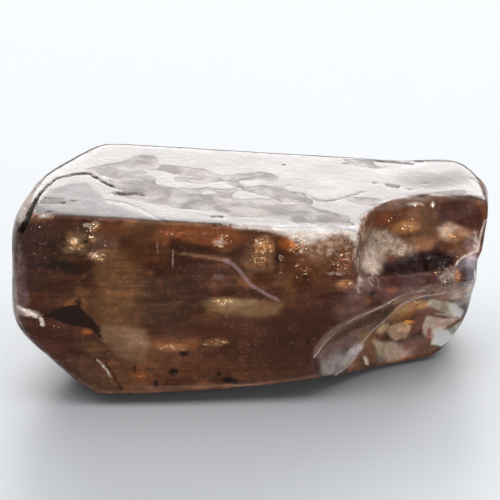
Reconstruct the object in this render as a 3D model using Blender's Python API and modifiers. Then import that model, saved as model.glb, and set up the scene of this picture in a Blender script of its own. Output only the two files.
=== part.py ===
"""Zircon crystal: a worn, broken tetragonal prism about 18 mm long, one solid.

The prism lies on one of its long faces.  The long axis runs along X, the
width along Y, and Z is up.  The origin is under the middle of the stone, on
the plane that it rests on.  The crystal is cut out of a block face by face,
as planes at a distance from its middle, then broken by scoops, then worn.
Narrow keel faces lift its front lower edge a little off the resting plane.
"""

import math

import bmesh
import bpy
from mathutils import Euler, Matrix, Vector

MM = 0.001

# The crystal's middle, and the point of it that becomes the origin: the
# middle of its outline in plan, at the height of its resting face.  Every
# place below is in millimetres and is moved by ORIGIN.
FACE_CENTRE = Vector((0.0, 0.0, 3.60))
FOOT_HEIGHT = -0.42
ORIGIN = Vector((0.116, 0.106, FOOT_HEIGHT))

# Crystal faces: azimuth of the outward normal in plan (degrees, from +X
# toward +Y), its rise above the horizontal, and the distance of the face
# from FACE_CENTRE in millimetres.
CRYSTAL_FACES = {
    "prism_top": (-21.0, 85.2, 3.45),
    "prism_front": (-88.5, -2.0, 3.68),
    "prism_back": (92.0, 3.0, 3.79),
    "front_underside": (-78.0, -38.0, 4.95),
    "left_end_back": (143.0, 4.0, 7.08),
    "left_end": (161.0, 4.0, 7.80),
    "left_end_front": (190.0, 1.0, 9.22),
    "left_front_bevel": (228.0, 2.0, 8.72),
    "left_pyramid_front": (200.0, -43.0, 7.40),
    "left_pyramid_back": (150.0, -38.0, 7.00),
    "left_shoulder": (147.0, 50.0, 7.34),
    "left_corner": (184.0, 46.0, 8.50),
    "right_back_corner": (40.0, 4.0, 8.90),
    "right_end": (-5.0, -8.0, 8.55),
    "right_pyramid": (0.0, -41.0, 8.05),
    "right_shoulder": (4.0, 46.0, 8.30),
    "right_foot": (-71.7, -60.0, 4.62),
    "keel_front": (-88.5, -72.0, 4.52),
    "keel_middle": (-78.0, -72.0, 4.50),
    "keel_right": (-71.7, -72.0, 4.35),
}

# The block reaches this far below the plane that the stone rests on, so that
# the last cut leaves the resting face exactly flat.
BLOCK_SIZE = (24.0, 14.0, 12.0)
REST_DEPTH = 0.10
REST_SLAB = (30.0, 20.0, 10.0)

# The notch that took the upper right front of the prism: an elliptic
# cylinder that leans back.  Planes close it, each given by a point on it and
# the azimuth and rise of its normal: a steep wall behind, and a ledge below
# in two parts, which falls to the front and steepens toward the left.
NOTCH_FOOT = Vector((7.14, -4.20, 2.55))
NOTCH_RADII = (3.60, 3.50)
NOTCH_LEAN = (-14.0, 9.0)
NOTCH_HEIGHT = 9.0
NOTCH_PLANES = {
    "back_wall": ((5.60, -1.63, 4.00), (-80.0, 33.0)),
    "ledge": ((7.30, -4.52, 2.55), (-50.0, 66.0)),
    "ledge_left": ((3.94, -3.62, 4.90), (-17.0, 48.0)),
}

# Shell-shaped (conchoidal) breaks: centre and radii in millimetres.
BREAKS = {
    "chip_outer": ((10.30, -6.45, 1.44), (8.54, 7.45, 3.24)),
    "chip_inner": ((8.28, -4.83, 0.95), (5.43, 5.66, 3.28)),
    "edge_saddle": ((3.10, -6.20, 8.90), (3.20, 3.60, 3.60)),
    "right_valley": ((9.70, -0.20, 3.95), (1.40, 1.60, 0.60)),
    "back_dip": ((5.40, 5.30, 8.30), (1.30, 2.00, 2.00)),
    "back_chip_low": ((-3.60, 5.70, -0.30), (3.30, 2.60, 2.20)),
    "back_chip_right": ((5.20, 5.40, 3.90), (1.90, 2.30, 1.30)),
    "left_back_chip": ((-8.00, 4.10, 4.60), (1.90, 1.60, 1.70)),
}

# Shallow pits where grains broke out of the skin: centre and radii.
PITS = {
    "pit_top_front": ((-1.20, -3.05, 7.20), (0.42, 0.20, 0.24)),
    "pit_top_right": ((5.35, 0.85, 6.82), (0.60, 0.22, 0.26)),
    "pit_top_left": ((-7.25, -3.45, 7.66), (0.30, 0.20, 0.24)),
    "pit_ledge": ((7.45, -1.35, 3.95), (0.45, 0.40, 0.36)),
    "pit_left_low": ((-8.75, -3.60, 2.05), (0.45, 0.45, 0.55)),
}

# The open crack that curls over the left end of the top: points on the
# stone's surface, with the crack's half width at each.
CRACK_POINTS = (
    (-8.28, -3.86, 6.62), (-8.18, -3.77, 7.06), (-8.08, -3.56, 7.28),
    (-7.96, -3.20, 7.41), (-7.89, -2.67, 7.47), (-7.78, -2.13, 7.53),
    (-7.58, -1.28, 7.59), (-7.22, -0.58, 7.61), (-6.68, -0.16, 7.59),
    (-6.05, -0.02, 7.54), (-5.58, -0.50, 7.49), (-5.04, -0.98, 7.43),
)
CRACK_HALF_WIDTH = 0.13
CRACK_START_WIDTH = 1.2
CRACK_END_WIDTH = 0.45

# Wear: a bevel rounds the crystal's edges, smoothing softens the breaks, and
# a slow undulation stands for growth hillocks and etching.
EDGE_BEVEL = 0.42
VOXEL = 0.13
WEAR_ROUNDS = 16
HILLOCK_SIZE = 2.4
HILLOCK_HEIGHT = 0.07
KEPT_SHARE = 0.10


def facing(azimuth, rise):
    """Unit vector with this azimuth in plan and this rise, in degrees."""
    a = math.radians(azimuth)
    r = math.radians(rise)
    return Vector((math.cos(a) * math.cos(r), math.sin(a) * math.cos(r), math.sin(r)))


def place(point):
    """A place in the crystal's millimetres as a place in metres."""
    return (Vector(point) - ORIGIN) * MM


def clear_scene():
    """Start from an empty scene."""
    for item in list(bpy.data.objects):
        bpy.data.objects.remove(item, do_unlink=True)


def collection(name):
    """A new collection in the scene."""
    made = bpy.data.collections.new(name)
    bpy.context.scene.collection.children.link(made)
    return made


def object_from(bm, name, group):
    """Turn a bmesh into an object in the collection."""
    mesh = bpy.data.meshes.new(name)
    bm.to_mesh(mesh)
    bm.free()
    item = bpy.data.objects.new(name, mesh)
    group.objects.link(item)
    return item


def hide_as_cutter(item):
    """Mark an object as a cutter."""
    item.hide_render = True
    item.display_type = "WIRE"
    return item


def cut_plane(bm, point, normal):
    """Take away all that lies outside a plane, and close the cut."""
    whole = bm.verts[:] + bm.edges[:] + bm.faces[:]
    cut = bmesh.ops.bisect_plane(
        bm, geom=whole, dist=1e-8, plane_co=point, plane_no=normal, clear_outer=True
    )
    rim = [e for e in cut["geom_cut"] if isinstance(e, bmesh.types.BMEdge)]
    if rim:
        bmesh.ops.contextual_create(bm, geom=rim)
    bmesh.ops.recalc_face_normals(bm, faces=bm.faces[:])


def crystal(group):
    """The whole, unbroken prism: a block cut by every crystal face."""
    bm = bmesh.new()
    middle = FOOT_HEIGHT - REST_DEPTH + BLOCK_SIZE[2] / 2.0
    block = Matrix.Translation(place((0.0, 0.0, middle)))
    size = Matrix.Diagonal((*(side * MM for side in BLOCK_SIZE), 1.0))
    bmesh.ops.create_cube(bm, size=1.0, matrix=block @ size)
    for azimuth, rise, distance in CRYSTAL_FACES.values():
        normal = facing(azimuth, rise)
        cut_plane(bm, place(FACE_CENTRE + normal * distance), normal)
    return object_from(bm, "zircon_crystal", group)


def notch_cutter(group):
    """Elliptic cylinder for the notch, closed by its wall and its ledge."""
    bm = bmesh.new()
    lean = Euler((math.radians(NOTCH_LEAN[0]), math.radians(NOTCH_LEAN[1]), 0.0)).to_matrix()
    frame = Matrix.Translation(place(NOTCH_FOOT)) @ lean.to_4x4()
    size = Matrix.Diagonal((NOTCH_RADII[0] * MM, NOTCH_RADII[1] * MM, 1.0, 1.0))
    bmesh.ops.create_cone(
        bm, cap_ends=True, segments=72, radius1=1.0, radius2=1.0,
        depth=2.0 * NOTCH_HEIGHT * MM, matrix=frame @ size,
    )
    for point, slant in NOTCH_PLANES.values():
        cut_plane(bm, place(point), -facing(*slant))
    return hide_as_cutter(object_from(bm, "cut_notch", group))


def ball_cutter(name, centre, radii, group, rings=40):
    """Ellipsoid cutter for a break or a pit."""
    bm = bmesh.new()
    size = Matrix.Diagonal((radii[0] * MM, radii[1] * MM, radii[2] * MM, 1.0))
    bmesh.ops.create_uvsphere(
        bm, u_segments=rings * 3 // 2, v_segments=rings, radius=1.0,
        matrix=Matrix.Translation(place(centre)) @ size,
    )
    return hide_as_cutter(object_from(bm, "cut_" + name, group))


def crack_cutter(group):
    """Round, tapering sweep along the open crack, turned into a mesh."""
    curve = bpy.data.curves.new("crack_path", "CURVE")
    curve.dimensions = "3D"
    curve.bevel_depth = CRACK_HALF_WIDTH * MM
    curve.bevel_resolution = 1
    curve.use_fill_caps = True
    spline = curve.splines.new("POLY")
    spline.points.add(len(CRACK_POINTS) - 1)
    last = len(CRACK_POINTS) - 1
    for index, point in enumerate(CRACK_POINTS):
        share = index / last
        spline.points[index].co = (*place(point), 1.0)
        spline.points[index].radius = CRACK_START_WIDTH + (CRACK_END_WIDTH - CRACK_START_WIDTH) * share
    path = bpy.data.objects.new("crack_path", curve)
    group.objects.link(path)
    seen = path.evaluated_get(bpy.context.evaluated_depsgraph_get())
    mesh = bpy.data.meshes.new_from_object(seen)
    bm = bmesh.new()
    bm.from_mesh(mesh)
    bmesh.ops.remove_doubles(bm, verts=bm.verts[:], dist=1e-7)
    bmesh.ops.recalc_face_normals(bm, faces=bm.faces[:])
    bpy.data.objects.remove(path)
    bpy.data.meshes.remove(mesh)
    return hide_as_cutter(object_from(bm, "cut_crack", group))


def rest_cutter(group):
    """Slab under the stone that keeps the resting face exactly flat."""
    bm = bmesh.new()
    slab = Matrix.Translation((0.0, 0.0, -REST_SLAB[2] / 2.0 * MM))
    size = Matrix.Diagonal((*(side * MM for side in REST_SLAB), 1.0))
    bmesh.ops.create_cube(bm, size=1.0, matrix=slab @ size)
    return hide_as_cutter(object_from(bm, "cut_rest", group))


def subtract(item, cutter):
    """Boolean difference that stays on the object."""
    step = item.modifiers.new(cutter.name, "BOOLEAN")
    step.operation = "DIFFERENCE"
    step.solver = "EXACT"
    step.object = cutter


def round_edges(item):
    """Bevel that stays on the object."""
    bevel = item.modifiers.new("worn_edges", "BEVEL")
    bevel.width = EDGE_BEVEL * MM
    bevel.segments = 4
    bevel.limit_method = "ANGLE"
    bevel.angle_limit = math.radians(12.0)


def wear(item):
    """Soften the breaks, raise hillocks and drop the spare triangles."""
    skin = item.modifiers.new("skin", "REMESH")
    skin.mode = "VOXEL"
    skin.voxel_size = VOXEL * MM
    rounding = item.modifiers.new("rounded_edges", "SMOOTH")
    rounding.factor = 0.5
    rounding.iterations = WEAR_ROUNDS
    pattern = bpy.data.textures.new("hillocks", "CLOUDS")
    pattern.noise_scale = HILLOCK_SIZE * MM
    pattern.noise_depth = 2
    hillocks = item.modifiers.new("hillocks", "DISPLACE")
    hillocks.texture = pattern
    hillocks.texture_coords = "LOCAL"
    hillocks.mid_level = 0.5
    hillocks.strength = HILLOCK_HEIGHT * MM
    thinning = item.modifiers.new("thinning", "DECIMATE")
    thinning.ratio = KEPT_SHARE


def zircon_material():
    """Brown, glossy zircon."""
    stone = bpy.data.materials.new("zircon")
    stone.use_nodes = True
    shader = stone.node_tree.nodes["Principled BSDF"]
    shader.inputs["Base Color"].default_value = (0.105, 0.040, 0.020, 1.0)
    shader.inputs["Roughness"].default_value = 0.18
    shader.inputs["Metallic"].default_value = 0.0
    shader.inputs["IOR"].default_value = 1.95
    return stone


def build():
    """Make the stone and its cutters."""
    clear_scene()
    stone_group = collection("zircon_gemstone")
    cutter_group = collection("cutters")
    stone = crystal(stone_group)
    round_edges(stone)
    subtract(stone, notch_cutter(cutter_group))
    for name, (centre, radii) in BREAKS.items():
        subtract(stone, ball_cutter(name, centre, radii, cutter_group))
    wear(stone)
    for name, (centre, radii) in PITS.items():
        subtract(stone, ball_cutter(name, centre, radii, cutter_group, 20))
    subtract(stone, crack_cutter(cutter_group))
    subtract(stone, rest_cutter(cutter_group))
    stone.data.materials.append(zircon_material())
    stone.data.shade_smooth()


build()
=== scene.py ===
# %% [markdown]
# # A rough zircon crystal
# This lesson dresses one natural stone: a zircon, a brown crystal about
# 18 mm long that grew as a four-sided prism and was then broken and worn.
# The real thing is clear, deeply coloured and full of small flaws. The work
# has three parts: a finely shaped skin, the clouds and flaws that are seen
# in and just under it, and the light that shows them.

import bpy
import numpy as np
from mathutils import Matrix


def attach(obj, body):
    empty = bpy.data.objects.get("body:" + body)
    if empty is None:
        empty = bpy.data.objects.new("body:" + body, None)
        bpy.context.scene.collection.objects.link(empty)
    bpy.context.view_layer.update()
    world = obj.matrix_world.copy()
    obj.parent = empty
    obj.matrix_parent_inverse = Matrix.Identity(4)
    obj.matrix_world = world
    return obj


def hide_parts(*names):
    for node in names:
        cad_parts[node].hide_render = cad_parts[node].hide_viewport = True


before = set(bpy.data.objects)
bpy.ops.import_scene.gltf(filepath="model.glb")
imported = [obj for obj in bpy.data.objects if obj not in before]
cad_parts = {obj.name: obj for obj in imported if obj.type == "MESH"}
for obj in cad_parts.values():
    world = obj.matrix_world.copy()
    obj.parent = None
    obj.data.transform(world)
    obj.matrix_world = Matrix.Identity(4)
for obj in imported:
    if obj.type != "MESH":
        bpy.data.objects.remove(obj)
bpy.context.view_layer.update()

# %% [markdown]
# ## Measures
# The stone is worked out in millimetres, in the crystal's own axes, and moved
# to the frame's metres at the end. The frame's origin is under the middle of
# the stone, on its resting face. One small function turns the hex
# colours that a painter would write down into the linear values that the
# shader needs, and another turns a real size in millimetres into the scale
# of a pattern.

# %% Units, colour and pattern scale
MM = 0.001
FOOT = -0.42
ORIGIN = np.array([0.116, 0.106, FOOT])


def to_metres(points):
    """Millimetres in the crystal's own axes, as metres in the frame."""
    return (np.asarray(points) - ORIGIN) * MM


def linear(hex_colour):
    """sRGB hex to linear RGBA: the low end is a straight line, the rest a power of 2.4."""
    srgb = np.array([int(hex_colour[i:i + 2], 16) for i in (0, 2, 4)]) / 255.0
    low = srgb / 12.92
    high = ((srgb + 0.055) / 1.055) ** 2.4
    return (*np.where(srgb <= 0.04045, low, high).tolist(), 1.0)


def per_mm(size):
    """Scale of a pattern whose features are this many millimetres across."""
    return 1.0 / (size * MM)


print("one millimetre is", MM, "m; a 2 mm pattern has scale", per_mm(2.0))

# %% [markdown]
# ## The camera
# A long lens from far away keeps the faces of so small a stone nearly
# parallel, as a close-up on a bench does. It looks down by 23 degrees.

# %% Camera
AIM = to_metres((0.0, 0.0, 4.45))
REACH = 105.3 * MM
TILT = np.radians(23.0)
FOCAL_LENGTH = 200.0
SENSOR_WIDTH = 36.0
to_eye = np.array([0.0, -np.cos(TILT), np.sin(TILT)])
eye = AIM + REACH * to_eye

lens = bpy.data.cameras.new("bench_lens")
lens.lens = FOCAL_LENGTH
lens.sensor_width = SENSOR_WIDTH
lens.clip_start = 0.001
lens.clip_end = 10.0
camera = bpy.data.objects.new("bench_camera", lens)
camera.location = eye.tolist()
camera.rotation_euler = (np.pi / 2 - TILT, 0.0, 0.0)
bpy.context.collection.objects.link(camera)
bpy.context.scene.camera = camera
bpy.context.scene.view_settings.view_transform = "Standard"
print("camera at", np.round(eye * 1000, 1), "mm")

# %% [markdown]
# ## Faces of the crystal
# Zircon is tetragonal: long prism faces at right angles, closed by sloping
# pyramid faces. Each face is a plane that stands a distance from the
# crystal's middle. The inside of the crystal is where every plane says
# "behind me", so the largest of the plane distances is negative inside and
# zero on the skin. A soft maximum in place of the sharp one rounds the edges
# as wear does, and one number sets how much.

# %% The planes: azimuth and rise of the normal in degrees, distance in millimetres
CENTRE = np.array([0.0, 0.0, 3.60])
CRYSTAL_FACES = {
    "prism_top": (-21.0, 85.2, 3.45),
    "prism_foot": (0.0, -90.0, 3.60 - FOOT),
    "prism_front": (-88.5, -2.0, 3.68),
    "prism_back": (92.0, 3.0, 3.79),
    "front_underside": (-78.0, -38.0, 4.95),
    "left_end_back": (143.0, 4.0, 7.08),
    "left_end": (161.0, 4.0, 7.80),
    "left_end_front": (190.0, 1.0, 9.22),
    "left_front_bevel": (228.0, 2.0, 8.72),
    "left_pyramid_front": (200.0, -43.0, 7.40),
    "left_pyramid_back": (150.0, -38.0, 7.00),
    "left_shoulder": (147.0, 50.0, 7.34),
    "left_corner": (184.0, 46.0, 8.50),
    "right_back_corner": (40.0, 4.0, 8.90),
    "right_end": (-5.0, -8.0, 8.55),
    "right_pyramid": (0.0, -41.0, 8.05),
    "right_shoulder": (4.0, 46.0, 8.30),
    "right_foot": (-71.7, -60.0, 4.62),
    "keel_front": (-88.5, -72.0, 4.52),
    "keel_middle": (-78.0, -72.0, 4.50),
    "keel_right": (-71.7, -72.0, 4.35),
}
print(len(CRYSTAL_FACES), "crystal faces")


# %% Directions from angles
def facing(azimuth, rise):
    """Unit vectors from azimuth and rise in degrees: (cos a cos r, sin a cos r, sin r)."""
    a, r = np.radians(azimuth), np.radians(rise)
    return np.stack([np.cos(a) * np.cos(r), np.sin(a) * np.cos(r), np.sin(r)], axis=-1)


table = np.array(list(CRYSTAL_FACES.values()))
plane_normals = facing(table[:, 0], table[:, 1])
plane_reach = table[:, 2]
print("the top face looks along", np.round(plane_normals[0], 2))

# %% The soft maximum
EDGE_WEAR = 0.13
LEFT_END_WEAR = 0.06
LOW_WEAR = 0.05


def soft_step(low, high, value):
    """0 below low, 1 above high, and the smooth curve 3t^2 - 2t^3 between."""
    t = np.clip((value - low) / (high - low), 0.0, 1.0)
    return t * t * (3.0 - 2.0 * t)


def soft_max(a, b, width):
    """The larger of two values, with the corner rounded over a width."""
    top = np.maximum(a, b)
    return top + width * np.log(np.exp((a - top) / width) + np.exp((b - top) / width))


def crystal(p):
    """Soft maximum over all planes of (p - centre) . normal - distance."""
    gaps = (p - CENTRE) @ plane_normals.T - plane_reach
    width = EDGE_WEAR + LEFT_END_WEAR * soft_step(-6.0, -8.6, p[:, 0])
    width += LOW_WEAR * soft_step(2.2, 0.5, p[:, 2])
    top = gaps.max(axis=1)
    share = np.exp((gaps - top[:, None]) / width[:, None]).sum(axis=1)
    return top + width * np.log(share)


print("the middle lies %.2f mm under the skin" % -crystal(CENTRE[None])[0])

# %% [markdown]
# ## Breaks
# Zircon has no good cleavage: it breaks in shell-shaped (conchoidal)
# hollows, which are close to parts of an ellipsoid. A block also broke out
# of the upper right front and left a notch: a curved cliff, a steep wall
# behind and a ledge in two parts below. Taking a hollow out of a solid is
# again a maximum, of the solid and of the hollow's distance turned inside
# out. The two front chips were fitted by least squares to points picked
# along their rims; the other hollows were placed one by one.

# %% The hollows: centre and radii of each ellipsoid
BREAKS = {
    "chip_outer": ((10.30, -6.45, 1.44), (8.54, 7.45, 3.24)),
    "chip_inner": ((8.28, -4.83, 0.95), (5.43, 5.66, 3.28)),
    "edge_saddle": ((3.10, -6.20, 8.90), (3.20, 3.60, 3.60)),
    "right_valley": ((9.70, -0.20, 3.95), (1.40, 1.60, 0.60)),
    "back_dip": ((5.40, 5.30, 8.30), (1.30, 2.00, 2.00)),
    "back_chip_low": ((-3.60, 5.70, -0.30), (3.30, 2.60, 2.20)),
    "back_chip_right": ((5.20, 5.40, 3.90), (1.90, 2.30, 1.30)),
    "left_back_chip": ((-8.00, 4.10, 4.60), (1.90, 1.60, 1.70)),
}
SADDLE_WEAR = 0.16
BREAK_WEAR = 0.10
print(len(BREAKS), "shell-shaped breaks")

# %% The notch: an upright elliptic cylinder and three planes
NOTCH_FOOT = np.array([7.14, -4.20, 2.55])
NOTCH_RADII = (3.60, 3.50)
NOTCH_LEAN = (-14.0, 9.0)
NOTCH_PLANES = {
    "back_wall": ((5.60, -1.63, 4.00), (-80.0, 33.0)),
    "ledge": ((7.30, -4.52, 2.55), (-50.0, 66.0)),
    "ledge_left": ((3.94, -3.62, 4.90), (-17.0, 48.0)),
}
NOTCH_RIM_WEAR = 0.12
CLIFF_WEAR = 0.08
LEDGE_WEAR = 0.06
print("the notch has", 1 + len(NOTCH_PLANES), "sides")


# %% Distances to the hollows
def turn(about_x, about_y):
    """Rotation matrix: first about X, then about Y, in degrees."""
    a, b = np.radians(about_x), np.radians(about_y)
    tip = np.array([[1, 0, 0], [0, np.cos(a), -np.sin(a)], [0, np.sin(a), np.cos(a)]])
    swing = np.array([[np.cos(b), 0, np.sin(b)], [0, 1, 0], [-np.sin(b), 0, np.cos(b)]])
    return swing @ tip


def ellipsoid(p, centre, radii):
    """Near its skin, the distance to an ellipsoid: k0 (k0 - 1) / k1."""
    q = p - np.array(centre)
    r = np.array(radii)
    k0 = np.linalg.norm(q / r, axis=1)
    k1 = np.linalg.norm(q / r**2, axis=1)
    return k0 * (k0 - 1.0) / np.maximum(k1, 1e-9)


def notch_sides(p):
    """Four distances, each negative on the open side: cliff, back wall, ledge, left ledge."""
    q = (p - NOTCH_FOOT) @ turn(*NOTCH_LEAN)
    cliff = (np.hypot(q[:, 0] / NOTCH_RADII[0], q[:, 1] / NOTCH_RADII[1]) - 1.0) * min(NOTCH_RADII)
    planes = [-(p - np.array(point)) @ facing(*slant) for point, slant in NOTCH_PLANES.values()]
    return [cliff, *planes]


def notch(p):
    """Soft maximum of the four sides: negative in the open notch."""
    cliff, wall, ledge, ledge_left = notch_sides(p)
    inner = soft_max(cliff, wall, CLIFF_WEAR)
    return soft_max(soft_max(inner, ledge, LEDGE_WEAR), ledge_left, LEDGE_WEAR)


print("the foot of the notch has the distance %.2f mm" % notch(NOTCH_FOOT[None])[0])


# %% The whole form
def stone(p):
    """The crystal less the notch and the breaks: negative inside, zero on the skin."""
    f = soft_max(crystal(p), -notch(p), NOTCH_RIM_WEAR)
    for name, (centre, radii) in BREAKS.items():
        wear = SADDLE_WEAR if name == "edge_saddle" else BREAK_WEAR
        f = soft_max(f, -ellipsoid(p, centre, radii), wear)
    return f


def slope(field, p, step=0.01):
    """Central differences of a field along X, Y and Z."""
    out = np.empty_like(p)
    for axis in range(3):
        shift = np.zeros(3)
        shift[axis] = step
        out[:, axis] = (field(p + shift) - field(p - shift)) / (2.0 * step)
    return out


print("slope at the middle:", np.round(slope(stone, CENTRE[None])[0], 2))

# %% [markdown]
# ## A fine skin to shape
# The frame's solid has about nine thousand triangles, too few for pits and
# growth steps. A copy of it is covered with a fine, even net of squares by
# the Remesh modifier, and numpy then slides every point of the net onto the
# exact form, along the form's own slope (Newton's method).

# %% Cover a copy of the solid with an even net
NET = 0.0815
WELD_REACH = 0.0001


def even_net(node, size):
    """Copy a node in millimetres, weld its loose triangles and voxel-remesh it."""
    copy = node.data.copy()
    coords = np.empty(len(copy.vertices) * 3)
    copy.vertices.foreach_get("co", coords)
    coords = coords.reshape(-1, 3) / MM + ORIGIN
    copy.vertices.foreach_set("co", coords.ravel())
    holder = bpy.data.objects.new("net", copy)
    bpy.context.collection.objects.link(holder)
    weld = holder.modifiers.new("weld", "WELD")
    weld.merge_threshold = WELD_REACH
    cover = holder.modifiers.new("cover", "REMESH")
    cover.mode = "VOXEL"
    cover.voxel_size = size
    finished = holder.evaluated_get(bpy.context.evaluated_depsgraph_get())
    mesh = bpy.data.meshes.new_from_object(finished)
    bpy.data.objects.remove(holder)
    bpy.data.meshes.remove(copy)
    return mesh


skin_mesh = even_net(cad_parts["zircon_crystal"], NET)
net_points = np.empty(len(skin_mesh.vertices) * 3)
skin_mesh.vertices.foreach_get("co", net_points)
net_points = net_points.reshape(-1, 3)
print("net:", len(skin_mesh.vertices), "points,", len(skin_mesh.polygons), "squares")


# %% Slide the net onto the form
def settle(p, rounds=6, longest=0.12):
    """Newton steps: p - f(p) grad f / |grad f|^2, none longer than a limit."""
    for _ in range(rounds):
        g = slope(stone, p)
        move = -(stone(p) / np.maximum((g * g).sum(axis=1), 1e-6))[:, None] * g
        far = np.linalg.norm(move, axis=1, keepdims=True)
        p = p + move * np.minimum(1.0, longest / np.maximum(far, 1e-9))
    return p


skin = settle(net_points)
outward = slope(stone, skin)
outward /= np.linalg.norm(outward, axis=1, keepdims=True)
print("left over: %.4f mm at most" % np.abs(stone(skin)).max())

# %% [markdown]
# ## Noise that numpy can make
# Growth hillocks, etched patches and grain need a smooth random field. The
# classic one puts a random value on each corner of a lattice and blends
# between corners; several layers, each finer and fainter, give a natural
# look. The seed is fixed, so the stone is the same on every run.

# %% Lattice noise
LATTICE_SIDE = 32
OFF_CENTRE = 11.3
LAYER_SHIFT = 5.7
lattice = np.random.default_rng(7).random((LATTICE_SIDE, LATTICE_SIDE, LATTICE_SIDE))


def noise(p, size, shift=0.0):
    """Random lattice values, blended with the curve 3t^2 - 2t^3; 0 to 1, about 0.5."""
    q = np.asarray(p) / size + OFF_CENTRE + shift
    cell = np.floor(q).astype(int)
    t = q - cell
    t = t * t * (3.0 - 2.0 * t)
    total = np.zeros(len(q))
    for i in (0, 1):
        for j in (0, 1):
            for k in (0, 1):
                share = np.abs(1 - i - t[:, 0]) * np.abs(1 - j - t[:, 1]) * np.abs(1 - k - t[:, 2])
                corner = (cell + (i, j, k)) % LATTICE_SIDE
                total += share * lattice[corner[:, 0], corner[:, 1], corner[:, 2]]
    return total


def layers(p, size, count=3, shift=0.0):
    """Layers of noise, each half the size and half the weight; 0 to 1."""
    total, weight, whole = 0.0, 1.0, 0.0
    for n in range(count):
        total = total + weight * noise(p, np.asarray(size) / 2.0**n, shift + LAYER_SHIFT * n)
        whole += weight
        weight *= 0.5
    return total / whole


print("noise at three places:", np.round(noise(np.eye(3), 0.8), 3))

# %% [markdown]
# ## Where things are
# Every flaw is placed as someone sees it who looks at the front from a
# little above: by x, to the right, and by a sight height, which is z plus
# the share of the depth that lifts a farther point in view. On the front
# face the sight height is nearly z itself, and on the top face it runs back
# with y. One such pair of numbers places a flaw on any of the faces that
# look this way.
#
# The flaws of a natural stone follow no rule, so their points were picked one
# at a time. A small program that follows lines of sight to the form turned
# many of them into these two numbers. The rest were chosen or moved one by
# one. Many colours began as measured ones and were then adjusted.

# %% The sight plane
FRONT_FACE_Y = -3.6
x, y, z = skin.T
sight = z + np.tan(TILT) * (y - FRONT_FACE_Y)
seen = np.column_stack([x, sight])
near_side = soft_step(0.02, 0.20, outward @ to_eye)
wander = [layers(skin, 0.75, 3, shift) - 0.5 for shift in (1.0, 7.0, 13.0, 19.0)]
print("sight heights from %.2f to %.2f mm" % (sight.min(), sight.max()))


# %% Ovals and strokes
def oval(centre, radii, slant=0.0, soft=0.6, wobble=0.7, number=0):
    """1 inside a slanted ellipse and 0 outside, with a soft rim that wanders."""
    a = np.radians(slant)
    q = (seen - np.array(centre)) @ np.array([[np.cos(a), -np.sin(a)], [np.sin(a), np.cos(a)]])
    reach = np.linalg.norm(q / np.array(radii), axis=1) + wobble * wander[number % 4]
    return soft_step(1.0 + soft / 2.0, 1.0 - soft / 2.0, reach)


def stroke(path, waver=0.05, number=0):
    """Distance to a broken line in the sight plane, and how far along it, 0 to 1."""
    q = seen + waver * wander[number % 4][:, None]
    path = np.asarray(path, float)
    best = np.full(len(q), 1e9)
    along = np.zeros(len(q))
    lengths = np.linalg.norm(np.diff(path, axis=0), axis=1)
    done = 0.0
    for a, b, length in zip(path[:-1], path[1:], lengths):
        t = np.clip(((q - a) @ (b - a)) / length**2, 0.0, 1.0)
        gap = np.linalg.norm(q - a - t[:, None] * (b - a), axis=1)
        nearer = gap < best
        best = np.where(nearer, gap, best)
        along = np.where(nearer, (done + t * length) / lengths.sum(), along)
        done += length
    return best, along


print("share inside a 2 mm circle: %.3f" % oval((0.0, 3.0), (2.0, 2.0)).mean())


# %% Outlines
def outline(path, waver=0.05, number=0):
    """Signed distance to a closed outline in the sight plane: negative inside it.

    A point is inside when the way to its right crosses an odd number of edges.
    """
    gap = stroke([*path, path[0]], waver, number)[0]
    q = seen + waver * wander[number % 4][:, None]
    path = np.asarray(path, float)
    odd = np.zeros(len(q), bool)
    for a, b in zip(path, np.roll(path, -1, axis=0)):
        spans = (q[:, 1] < a[1]) != (q[:, 1] < b[1])
        rise = b[1] - a[1] if b[1] != a[1] else 1e-9
        odd ^= spans & (q[:, 0] < a[0] + (q[:, 1] - a[1]) / rise * (b[0] - a[0]))
    return np.where(odd, -gap, gap)


print("share inside a triangle: %.3f" % (outline([(-2, 1), (2, 1), (0, 5)]) < 0).mean())

# %% [markdown]
# ## Which face each point is on
# The real stone looks different in each kind of place: the etched top, the
# streaky front, the crumbly notch with its ledge, the glassy chips, and the
# clear lobe at the right end. Selecting faces by hand would give hard
# borders, so each kind of place is a number from 0 to 1 that comes from the
# outward direction or from the distance to the form that made it.

# %% Kinds of place
CREVICE = [(3.9, 5.02), (4.84, 4.95), (5.9, 4.97), (7.15, 5.13), (7.6, 5.38), (8.6, 5.9)]
LOBE = [
    (7.66, 5.1), (7.74, 5.42), (8.03, 5.71), (8.57, 5.94), (9.4, 6.1), (9.4, 2.4), (8.2, 3.1),
    (7.9, 3.6), (7.6, 4.2),
]
in_hollow = soft_step(0.28, 0.12, np.abs(notch(skin)))
below = soft_step(0.05, -0.05, sight - np.interp(x, *np.array(CREVICE).T))
on_ledge = in_hollow * below
in_notch = in_hollow * (1.0 - below)
in_outer_chip = soft_step(0.22, 0.08, np.abs(ellipsoid(skin, *BREAKS["chip_outer"])))
in_inner_chip = soft_step(0.22, 0.08, np.abs(ellipsoid(skin, *BREAKS["chip_inner"])))
in_chips = np.maximum(in_outer_chip, in_inner_chip)
on_top = soft_step(0.90, 0.975, outward[:, 2]) * (1.0 - in_hollow)
on_front = soft_step(0.25, 0.60, -outward[:, 1]) * soft_step(-2.2, -2.8, y)
on_front *= (1.0 - in_hollow) * (1.0 - in_chips)
on_lobe = soft_step(0.08, -0.08, outline(LOBE, 0.05)) * near_side
edge_share = 1.0 - np.abs(outward).max(axis=1)
print("share of the skin: top %.2f, front %.2f, notch %.2f, chips %.2f"
      % (on_top.mean(), on_front.mean(), in_notch.mean(), in_chips.mean()))
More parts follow.
